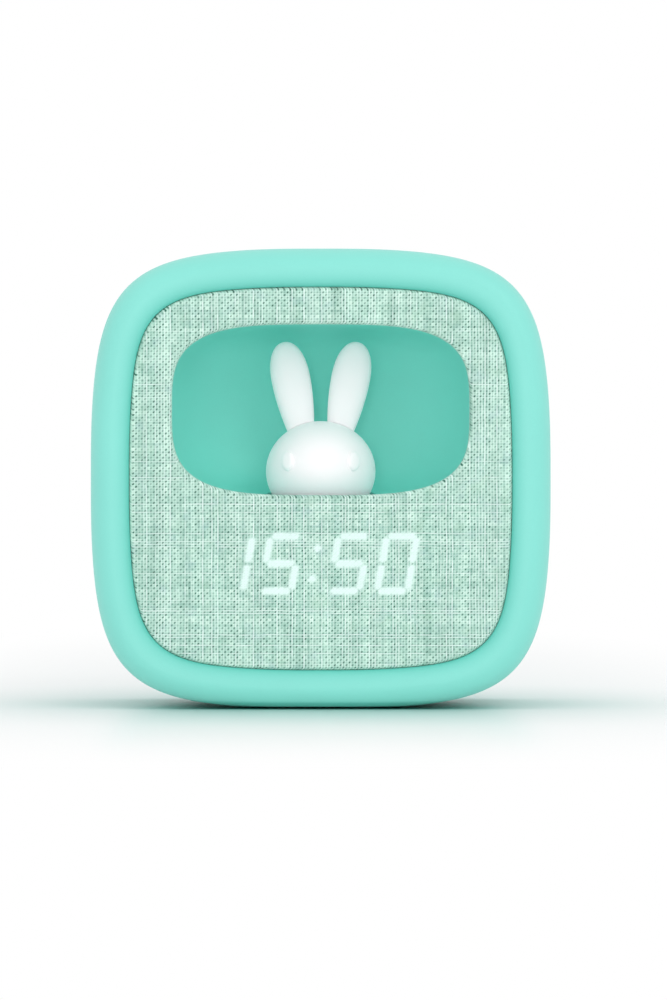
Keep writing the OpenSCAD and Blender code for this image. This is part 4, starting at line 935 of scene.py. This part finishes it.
def node_group(name, inputs, outputs, build):
    """A shader node group, made once: build(graph, inputs) gives its outputs in order"""
    if name in bpy.data.node_groups:
        return bpy.data.node_groups[name]
    tree = bpy.data.node_groups.new(name, "ShaderNodeTree")
    for label, kind, default in inputs:
        socket = tree.interface.new_socket(label, in_out="INPUT", socket_type="NodeSocket" + kind)
        if default is not None:
            socket.default_value = (*default, 1) if kind == "Color" else default
    for label, kind in outputs:
        tree.interface.new_socket(label, in_out="OUTPUT", socket_type="NodeSocket" + kind)
    graph = Graph(tree)
    entry, leave = tree.nodes.new("NodeGroupInput"), tree.nodes.new("NodeGroupOutput")
    for socket, value in zip(leave.inputs, build(graph, entry.outputs)):
        graph.feed(socket, value)
    return tree


def material(name, build, **settings):
    """A material, made once: settings go on its shader, and build(graph, sockets) joins the rest"""
    if name in bpy.data.materials:
        return bpy.data.materials[name]
    made = bpy.data.materials.new(name)
    made.use_nodes = True
    graph = Graph(made.node_tree)
    sockets = made.node_tree.nodes["Principled BSDF"].inputs
    for label, value in settings.items():
        graph.feed(sockets[label.replace("_", " ")], value)
    build(graph, sockets)
    return made


# ---------------- shared effects


def moulded_group():
    """Fine grain and faint cloudiness of moulded plastic"""

    def build(graph, given):
        place, variation = given["Place"], given["Variation"]
        height = graph.noise(place, given["Grain"], 3.0)
        grain, cloud = graph.minus(height, 0.5), graph.minus(graph.noise(place, 0.035), 0.5)
        tone = graph.line(grain, variation, graph.line(cloud, variation, 1.0))
        return graph.shade(given["Colour"], tone), graph.line(grain, 0.16, given["Roughness"]), height

    return node_group(
        "Moulded grain",
        [("Place", "Vector", None), ("Colour", "Color", (0.8, 0.8, 0.8)), ("Roughness", "Float", 0.45),
         ("Grain", "Float", 3.0), ("Variation", "Float", 0.05)],
        [("Colour", "Color"), ("Roughness", "Float"), ("Height", "Float")], build)


def brushed_group():
    """Streaks of brushed or drawn metal along one axis"""

    def build(graph, given):
        streak = graph.noise(graph.vector("MULTIPLY", given["Place"], given["Stretch"]), 1.0, 3.0)
        tone = graph.span(streak, 0.25, 0.75, 0.82, 1.0, "LINEAR")
        return graph.shade(given["Colour"], tone), graph.line(streak, 0.18, given["Roughness"]), streak

    return node_group(
        "Brushed metal",
        [("Place", "Vector", None), ("Colour", "Color", (0.6, 0.6, 0.6)), ("Roughness", "Float", 0.2),
         ("Stretch", "Vector", (8.0, 8.0, 0.4))],
        [("Colour", "Color"), ("Roughness", "Float"), ("Height", "Float")], build)


def board_group():
    """Tracks and pads under the solder mask of a circuit board"""

    def build(graph, given):
        cells = graph.add("TexBrick", given["Place"], given["Mask"], given["Track"], given["Track"], 1.0)
        for label, value in (("Mortar Size", 0.12), ("Brick Width", 3.2), ("Row Height", 1.1)):
            cells.inputs[label].default_value = value
        patch = graph.span(graph.noise(given["Place"], 0.25, 1.0), 0.5, 0.56)
        colour = graph.mix(patch, given["Mask"], cells.outputs[0])
        return colour, graph.times(cells.outputs[1], patch)

    return node_group(
        "Board tracks",
        [("Place", "Vector", None), ("Mask", "Color", (0.01, 0.1, 0.04)),
         ("Track", "Color", (0.03, 0.2, 0.08))],
        [("Colour", "Color"), ("Height", "Float")], build)


def weave_group():
    """Plain weave of slubby linen: pale raised warp over a weft, with shade painted into the small dark
    hollows between the threads
    """

    def build(graph, given):
        place = given["Place"]
        sway = graph.times(graph.minus(graph.noise(place, 0.09), 0.5), 0.6)
        x, y, z = graph.split(place)
        u = graph.plus(graph.over(graph.plus(x, y), given["Pitch"]), sway)
        v = graph.minus(graph.over(graph.minus(z, y), given["Row"]), sway)
        column, row = graph.math("FLOOR", u), graph.math("FLOOR", v)
        across, up = (graph.minus(graph.math("FRACT", run), 0.5) for run in (u, v))
        odd = graph.math("FLOORED_MODULO", graph.plus(column, row), 2.0)
        side = graph.line(odd, -2.0, 1.0)

        def yarn(index, along, offset, pace, detail):
            """Noise along one thread, different for each: pace gives its steps per thread and along it"""
            place_on_yarn = graph.pack(graph.times(index, pace[0]), graph.times(along, pace[1]), offset)
            return graph.noise(place_on_yarn, 1.0, detail)

        def thread(index, along, offset, crosswise, lengthwise, width, sign, dip, spread):
            """Height and tone of one set of threads: with sign 1 it lies on top where odd is 0"""
            luck = graph.chance(graph.pack(index, offset, 0.0))
            uneven = graph.minus(yarn(index, along, offset, (3.7, 0.16), 3.0), 0.5)
            wide = graph.plus(graph.line(uneven, 0.7, width), graph.span(luck, 0.0, 0.3, -0.22, 0.0))
            bulge = graph.power(graph.size(graph.over(crosswise, wide)), 2.0)
            wave = graph.math("COSINE", graph.times(lengthwise, math.pi))
            height = graph.plus(graph.line(bulge, -4.0, 1.0), graph.times(wave, side, sign * 0.8))
            ridge = graph.times(graph.math("COSINE", graph.times(crosswise, 2 * math.pi)), -dip)
            tone = graph.line(graph.minus(luck, 0.5), spread, graph.line(uneven, 0.5, ridge))
            return height, tone

        def pale_thread(crosswise, along, offset, rarity):
            """Mask and shadow of the thin pale threads between the others: some nearly white, most faint"""
            shifted = graph.plus(crosswise, 0.5)
            index = graph.math("FLOOR", shifted)
            aside = graph.size(graph.minus(graph.math("FRACT", shifted), 0.5))
            luck = graph.power(graph.chance(graph.pack(index, offset, 2.0)), rarity)
            worn = graph.span(yarn(index, along, offset, (2.3, 0.2), 2.0), 0.35, 0.6, 0.25, 1.0)
            luck = graph.times(luck, worn)
            mask = graph.times(luck, graph.span(aside, 0.06, 0.34, 1.0, 0.0))
            return mask, graph.times(luck, graph.span(aside, 0.26, 0.46, 0.0, -0.3))

        warp, warp_tone = thread(column, v, 0.0, across, up, width=0.92, sign=1.0, dip=0.09, spread=0.22)
        weft, weft_tone = thread(row, u, 7.0, up, across, width=0.86, sign=-1.0, dip=0.05, spread=0.15)
        pale_warp, warp_shadow = pale_thread(u, v, 11.0, rarity=2.6)
        pale_weft, weft_shadow = pale_thread(v, u, 13.0, rarity=5.0)
        crossing = graph.line(graph.chance(graph.pack(column, row, 3.0)), 0.16, 0.92)
        tone = graph.plus(warp_tone, weft_tone, warp_shadow, weft_shadow, crossing)
        slant = graph.size(graph.line(up, -0.45, across))
        near = graph.times(graph.span(slant, 0.04, 0.42, 1.0, 0.0),
                           graph.span(graph.size(up), 0.14, 0.5, 1.0, 0.0))
        patchy = graph.span(graph.noise(place, 0.45, 3.0), 0.3, 0.7, 0.6, 1.35)
        by_thread = graph.span(graph.chance(graph.pack(column, 5.0, 1.0)), 0, 1, 0.6, 1.1)
        by_crossing = graph.span(graph.chance(graph.pack(column, row, 9.0)), 0, 1, 0.5, 1.15)
        # Painted shade: a mask of the hollows between the threads, which take the dark shade colour
        hollow = graph.times(near, odd, patchy, by_thread, by_crossing)
        on_top = graph.span(graph.minus(warp, weft), -0.5, 0.5)
        colour = graph.mix(hollow, graph.mix(on_top, given["Weft"], given["Warp"]), given["Gap"])
        deepened = graph.pack(graph.power(tone, 1.5), tone, graph.power(tone, 1.1))
        colour = graph.mix(1.0, colour, deepened, "MULTIPLY")
        colour = graph.mix(graph.times(graph.highest(pale_warp, pale_weft), 0.95), colour, given["Pale"])
        streak = graph.noise(graph.vector("MULTIPLY", place, (0.5, 0.5, 0.04)), 1.0)
        colour = graph.shade(colour, graph.span(streak, 0.25, 0.75, 0.92, 1.08, "LINEAR"))
        fleck = graph.span(graph.noise(place, 0.28, 3.0), 0.52, 0.78, 0.0, 0.24)
        elsewhere = graph.vector("ADD", place, (70, 0, 30))
        moss = graph.span(graph.noise(elsewhere, 0.2, 3.0), 0.52, 0.8, 0.0, 0.3)
        colour = graph.mix(moss, graph.mix(fleck, colour, given["Fleck"]), given["Moss"])
        relief = graph.span(graph.highest(warp, weft), -1.0, 1.8, 0.0, 1.0, "LINEAR")
        return colour, graph.minus(relief, graph.times(hollow, 0.3))

    shades = {"Warp": (0.6, 0.9, 0.8), "Weft": (0.4, 0.7, 0.6), "Pale": (0.85, 1.0, 0.95),
              "Fleck": (0.4, 0.6, 0.7), "Moss": (0.4, 0.7, 0.5), "Gap": (0.1, 0.25, 0.2)}
    return node_group(
        "Linen weave",
        [("Place", "Vector", None), ("Pitch", "Float", 0.77), ("Row", "Float", 0.69),
         *[(label, "Color", value) for label, value in shades.items()]],
        [("Colour", "Color"), ("Height", "Float")], build)


def segment_group():
    """Distance in millimetres outside one straight segment with pointed ends"""

    def build(graph, given):
        across, along = graph.size(given["Across"]), graph.size(given["Along"])
        side = graph.minus(across, graph.times(given["Width"], 0.5))
        tip = graph.minus(graph.line(across, 0.5, along), graph.times(given["Length"], 0.5))
        return (graph.highest(side, tip),)

    return node_group(
        "Segment",
        [("Across", "Float", 0.0), ("Along", "Float", 0.0), ("Width", "Float", 2.0),
         ("Length", "Float", 7.0)],
        [("Distance", "Float")], build)


# ---------------- finishes


def moulded_finish(name, colour, roughness, grain=3.0, variation=0.05, depth=0.00002, folds=None, seam=None,
                   **settings):
    """Moulded plastic in one colour. A tint may paint shade into it where ambient occlusion finds it hemmed
    in, and where a mask of painted rim shade says so.
    """

    def build(graph, sockets):
        made = graph.effect(moulded_group(), Place=graph.place(), Colour=colour, Roughness=roughness,
                            Grain=grain, Variation=variation)
        shade = made["Colour"]
        if folds:
            # Painted shade: where ambient occlusion finds the surface hemmed in, and down the rim's inner
            # roll, the colour is multiplied towards the shade tint
            open_sky = graph.add("AmbientOcclusion", (1, 1, 1), 0.0025, samples=8).outputs["AO"]
            unshaded = graph.lowest(graph.span(open_sky, 0.35, 0.92), seam(graph, graph.place()))
            shade = graph.mix(1.0, shade, graph.mix(unshaded, folds, (1, 1, 1)), "MULTIPLY")
        graph.feed(sockets["Base Color"], shade)
        graph.feed(sockets["Roughness"], made["Roughness"])
        graph.feed(sockets["Normal"], graph.relief(made["Height"], depth))

    return material(name, build, **settings)


def shell_finish(context):
    """Soft-touch teal of the casing, with shade painted in where it is hemmed in and down the rim's inner
    roll to the linen
    """
    plan = Plan(context)

    def seam(graph, place):
        """Mask of painted shade: 1 on the open casing, falling to 0 down the inner roll of the rim"""
        x, y, z = graph.split(place)
        x = graph.over(graph.size(x), plan.width / 2 - plan.rim_crest)
        z = graph.over(graph.size(graph.minus(z, plan.centre_z)), plan.height / 2 - plan.rim_crest)
        spread = graph.plus(graph.power(x, plan.opening_power), graph.power(z, plan.opening_power))
        inside, near = graph.math("LESS_THAN", spread, 1.0), graph.math("LESS_THAN", y, plan.ledge_y)
        deep = graph.span(y, plan.front_y, plan.front_y + plan.rim_roll * 0.75, 0.0, 1.0, "LINEAR")
        return graph.minus(1.0, graph.times(deep, inside, near))

    # The tint below is painted shade, multiplied into the teal where the casing is hemmed in and down the
    # rim's inner roll
    return moulded_finish("Soft teal", context.scene.clock_colours.shell, 0.5, folds=(0.42, 0.78, 0.74),
                          seam=seam, Sheen_Weight=0.06)


def metal_finish(name, colour, roughness, stretch):
    """Brushed or drawn metal, with streaks along the axis that is stretched least"""

    def build(graph, sockets):
        made = graph.effect(brushed_group(), Place=graph.place(), Colour=colour, Roughness=roughness,
                            Stretch=stretch)
        graph.feed(sockets["Base Color"], made["Colour"])
        graph.feed(sockets["Roughness"], made["Roughness"])
        graph.feed(sockets["Normal"], graph.relief(made["Height"], 0.00001))

    return material(name, build, Metallic=1.0)


def board_finish(context):
    """Circuit board under green solder mask"""
    mask = context.scene.clock_colours.board

    def build(graph, sockets):
        track = tuple(min(1, 1.8 * c) for c in mask)
        made = graph.effect(board_group(), Place=graph.place(), Mask=mask, Track=track)
        graph.feed(sockets["Base Color"], made["Colour"])
        graph.feed(sockets["Normal"], graph.relief(made["Height"], 0.00003))

    return material("Circuit board", build, Roughness=0.28)


# Moulded finishes: name, colour or the name of its property, roughness and other settings
WHITE = ("White plastic", "panel", 0.45, {})
DARK = ("Dark plastic", "dark", 0.5, {"variation": 0.2})
RUBBER = ("Rubber", (0.018, 0.018, 0.02), 0.75, {"variation": 0.3, "depth": 0.00004})
MILKY = ("Milky acrylic", (0.72, 0.77, 0.77), 0.3,
         {"variation": 0.02, "Subsurface_Weight": 0.2, "Subsurface_Scale": 0.003})
LIT = ("Lit acrylic", (0.8, 0.85, 0.85), 0.35,
       {"variation": 0.02, "Emission_Color": "glow", "Emission_Strength": 0.8})
# The emission below is a faint painted glow that brightens the rabbit's head and ears evenly
SILICONE_PAINTED_GLOW = ("Silicone", "rabbit", 0.48,
            {"variation": 0.012, "depth": 0.00001, "Subsurface_Weight": 0.25, "Subsurface_Scale": 0.004,
             "Subsurface_Radius": (1.0, 1.0, 1.0), "Emission_Color": (1.0, 0.93, 0.95),
             "Emission_Strength": 0.125})
MOULDED = {
    "niche": ("Niche teal", "niche", 0.55, {}), "rabbit": SILICONE_PAINTED_GLOW, "panel": WHITE, "white_part": WHITE,
    "diffuser": MILKY, "lit": LIT, "dark": MILKY, "mechanism": DARK, "black_part": DARK, "rubber": RUBBER,
    "cloth": RUBBER,
    "led": ("LED phosphor", (0.85, 0.72, 0.22), 0.25, {"variation": 0.1, "Coat_Weight": 0.6}),
    "cell": ("Pouch foil", (0.55, 0.58, 0.62), 0.3,
             {"grain": 0.4, "variation": 0.08, "depth": 0.0003, "Metallic": 1.0}),
}

# Metals: name, colour, roughness and how much the grain is stretched along each axis
METALS = {
    "steel": ("Steel", (0.60, 0.61, 0.63), 0.2, (9.0, 0.5, 9.0)),
    "brass": ("Brass", (0.62, 0.44, 0.16), 0.22, (9.0, 9.0, 0.5)),
}


def slot_finish(context, slot):
    """Finish of a material slot of the frame"""
    if slot == "shell":
        return shell_finish(context)
    if slot == "board":
        return board_finish(context)
    if slot in METALS:
        return metal_finish(*METALS[slot])

    def own(value):
        """The colour that a property's name stands for"""
        return getattr(context.scene.clock_colours, value) if isinstance(value, str) else value

    name, colour, roughness, settings = MOULDED[slot]
    settings = {key: own(value) for key, value in settings.items()}
    return moulded_finish(name, own(colour), roughness, **settings)


def linen_finish(context, plan):
    """Slubby linen with the lit digits glowing through it"""
    colours = context.scene.clock_colours

    def build(graph, sockets):
        place = graph.place()
        weave = graph.effect(weave_group(), Place=place, Pitch=plan.thread, Row=plan.thread_row,
                             Warp=colours.thread_light, Weft=colours.thread_mid, Pale=colours.thread_pale,
                             Fleck=colours.thread_fleck, Moss=colours.thread_moss, Gap=colours.thread_dark)
        lit = lit_digits(graph, plan, place)
        dimmed = graph.mix(graph.times(lit, 0.9), weave["Colour"], (0.02, 0.05, 0.04))
        graph.feed(sockets["Base Color"], dimmed)
        texture = graph.times(lit, graph.span(weave["Height"], 0.2, 0.9, 0.84, 1.06))
        graph.feed(sockets["Emission Color"], graph.mix(texture, (0, 0, 0), colours.glow))
        graph.feed(sockets["Normal"], graph.relief(weave["Height"], 0.00018, 0.6))

    return material("Linen", build, Roughness=0.9, Emission_Strength=1.0, Sheen_Weight=0.15)


def lit_digits(graph, plan, place):
    """Mask of the lit segments and the colon, soft at its edges"""
    # Lit segments of each digit, numbered clockwise from the top, with the middle bar last
    lit = ((1, 2), (0, 2, 3, 5, 6), (0, 2, 3, 5, 6), (0, 1, 2, 3, 4, 5))
    soft, gap, dot_rise = 0.6, 0.5, plan.digit_h / 4.1
    width = plan.segment
    half_w, half_h = (plan.digit_w - width) / 2, (plan.digit_h - width) / 2
    reflector = plan.middle("display_reflector")
    x, y, z = graph.split(place)
    z = graph.minus(z, reflector.z)
    x = graph.minus(graph.minus(x, reflector.x), graph.times(z, math.tan(plan.slant)))
    # Each segment as (centre across, centre up, lies flat)
    places = [(0, half_h, True), (half_w, half_h / 2, False), (half_w, -half_h / 2, False),
              (0, -half_h, True), (-half_w, -half_h / 2, False), (-half_w, half_h / 2, False), (0, 0, True)]
    distances = []
    for digit, parts in enumerate(lit):
        i = digit - 1.5
        centre = i * plan.digit_pitch + math.copysign(plan.colon_space / 2, i)
        for part in parts:
            dx, dz, flat = places[part]
            px, pz = graph.minus(x, centre + dx), graph.minus(z, dz)
            across, along, span = (pz, px, 2 * half_w - gap) if flat else (px, pz, half_h - gap)
            distances += graph.effect(segment_group(), Across=across, Along=along, Width=width, Length=span)
    for sign in (-1, 1):
        pz = graph.minus(z, sign * dot_rise)
        away = graph.math("SQRT", graph.plus(graph.times(x, x), graph.times(pz, pz)))
        distances.append(graph.minus(away, width / 2))
    front = graph.math("LESS_THAN", y, plan.cloth_y + 0.3)
    return graph.times(graph.span(graph.lowest(*distances), soft, -soft), front)


# ---------------- stage


def sight(graph):
    """Masks of what the camera sees straight, and of what it sees straight, in gloss or through glass"""
    path = graph.add("LightPath").outputs
    straight = path["Is Camera Ray"]
    return straight, graph.highest(straight, path["Is Glossy Ray"], path["Is Transmission Ray"])


class CLOCK_OT_stage(Operator):
    """Set the floor, the soft lights, the world and the camera"""

    bl_idname = "clock.stage"
    bl_label = "Stage"

    AIM = (0, 0, 0.06)

    def execute(self, context):
        scene = context.scene
        scene.view_settings.view_transform = "Standard"
        self.camera(scene)
        self.floor()
        self.world(scene)
        self.softbox("Front", (-0.1, -1.35, 0.16), size=0.3, power=1.5)
        self.softbox("Left", (-0.75, -1.1, 0.9), size=0.7, power=0.7)
        self.softbox("Right", (0.75, -1.1, 0.9), size=0.7, power=3.3)
        return {"FINISHED"}

    def camera(self, scene):
        """A long lens in front of the clock, level with its middle"""
        data = bpy.data.cameras.new("Camera")
        data.sensor_width, data.lens = 36, 166.6
        data.shift_x, data.shift_y = 0.0128, -0.0215
        camera = bpy.data.objects.new("Camera", data)
        camera.location = (0, -1.233, self.AIM[2])
        camera.rotation_euler = (math.radians(90), 0, 0)
        scene.collection.objects.link(camera)
        scene.camera = camera

    @staticmethod
    def floor():
        """A pale floor that keeps the clock's shadow, adds a painted teal shadow round its foot for the
        camera, and fades into the background
        """
        floor = pillar("floor", [(2500, -20), (2500, 0)], 0, 0, 96)
        half_w, half_d = 52, 33                # ground that the clock darkens most, in millimetres
        side_rate, rear_rate = 2.2, 0.38       # how fast the ground clears beside it and behind it
        near, far = 10, 240                    # where the clearing starts and ends

        def build(graph, sockets):
            place = graph.place()
            tone = graph.span(graph.noise(place, 0.02), 0.0, 1.0, 0.98, 1.0, "LINEAR")
            x, y, _ = graph.split(place)
            aside = graph.times(graph.highest(graph.minus(graph.size(x), half_w), 0.0), side_rate)
            ahead = graph.highest(graph.minus(-half_d, y), 0.0)
            behind = graph.times(graph.highest(graph.minus(y, half_d), 0.0), rear_rate)
            reach = graph.add("VectorMath", graph.pack(aside, graph.plus(ahead, behind), 0.0),
                              operation="LENGTH").outputs["Value"]
            # Painted shadow: the colour the camera sees darkens towards deep teal where ambient occlusion
            # finds the ground hemmed in by the clock
            open_sky = graph.add("AmbientOcclusion", (1, 1, 1), 0.09, samples=16).outputs["AO"]
            painted_ground_shadow = graph.mix(open_sky, (0.0, 0.30, 0.26), (0.90, 0.93, 0.93))
            straight, seen = sight(graph)
            plain = graph.shade((0.94, 0.95, 0.95), tone)
            graph.feed(sockets["Base Color"], graph.mix(straight, plain, painted_ground_shadow))
            glow = graph.add("Emission", (1, 1, 1, 1), 1.0)
            shader, output = (graph.tree.nodes[name] for name in ("Principled BSDF", "Material Output"))
            fade = graph.times(graph.span(reach, near, far), seen)
            blend = graph.add("MixShader", fade, shader.outputs[0], glow.outputs[0])
            graph.tree.links.new(blend.outputs[0], output.inputs["Surface"])

        floor.data.materials.append(material("Floor", build, Roughness=0.3, Specular_IOR_Level=0.08))

    @staticmethod
    def world(scene):
        """White to the camera and in reflections, a softer white as light"""
        world = bpy.data.worlds.new("Studio")
        world.use_nodes = True
        graph = Graph(world.node_tree)
        light_share = 0.9
        sky = world.node_tree.nodes["Background"]
        sky.inputs["Color"].default_value = (1, 1, 1, 1)
        graph.feed(sky.inputs["Strength"], graph.span(sight(graph)[1], 0, 1, light_share, 1.0, "LINEAR"))
        scene.world = world

    def softbox(self, name, place, size, power):
        """A square soft light aimed at the clock's middle"""
        data = bpy.data.lights.new(name, "AREA")
        data.shape, data.size, data.energy = "SQUARE", size, power
        light = bpy.data.objects.new(name, data)
        light.location = place
        aim = Vector(self.AIM) - Vector(place)
        light.rotation_euler = aim.to_track_quat("-Z", "Y").to_euler()
        bpy.context.scene.collection.objects.link(light)


# ---------------- add-on


PIECES = (CLOCK_OT_inner_parts, CLOCK_OT_casing, CLOCK_OT_rear_shell, CLOCK_OT_linen, CLOCK_OT_niche,
          CLOCK_OT_rabbit, CLOCK_OT_buttons, CLOCK_OT_alarm_slider, CLOCK_OT_feet, CLOCK_OT_stage)


class CLOCK_PT_panel(Panel):
    """The clock's pieces, sizes and colours in the sidebar"""

    bl_idname = "CLOCK_PT_panel"
    bl_label = "Rabbit Alarm Clock"
    bl_space_type = "VIEW_3D"
    bl_region_type = "UI"
    bl_category = "Clock"

    def draw(self, context):
        for piece in PIECES:
            self.layout.operator(piece.bl_idname)
        scene = context.scene
        for title, group in (("Sizes", scene.clock_sizes), ("Colours", scene.clock_colours)):
            box = self.layout.box()
            box.label(text=title)
            for name in group.__annotations__:
                box.prop(group, name)


CLASSES = (ClockSizes, ClockColours, *PIECES, CLOCK_PT_panel)


def register():
    """Register the classes and hang the sizes and colours on the scene"""
    for each in CLASSES:
        bpy.utils.register_class(each)
    bpy.types.Scene.clock_sizes = PointerProperty(type=ClockSizes)
    bpy.types.Scene.clock_colours = PointerProperty(type=ClockColours)


def unregister():
    """Undo register"""
    del bpy.types.Scene.clock_colours
    del bpy.types.Scene.clock_sizes
    for each in reversed(CLASSES):
        bpy.utils.unregister_class(each)


def main():
    """Make every piece in order"""
    register()
    for piece in PIECES:
        category, name = piece.bl_idname.split(".")
        getattr(getattr(bpy.ops, category), name)()


if __name__ == "__main__":
    main()
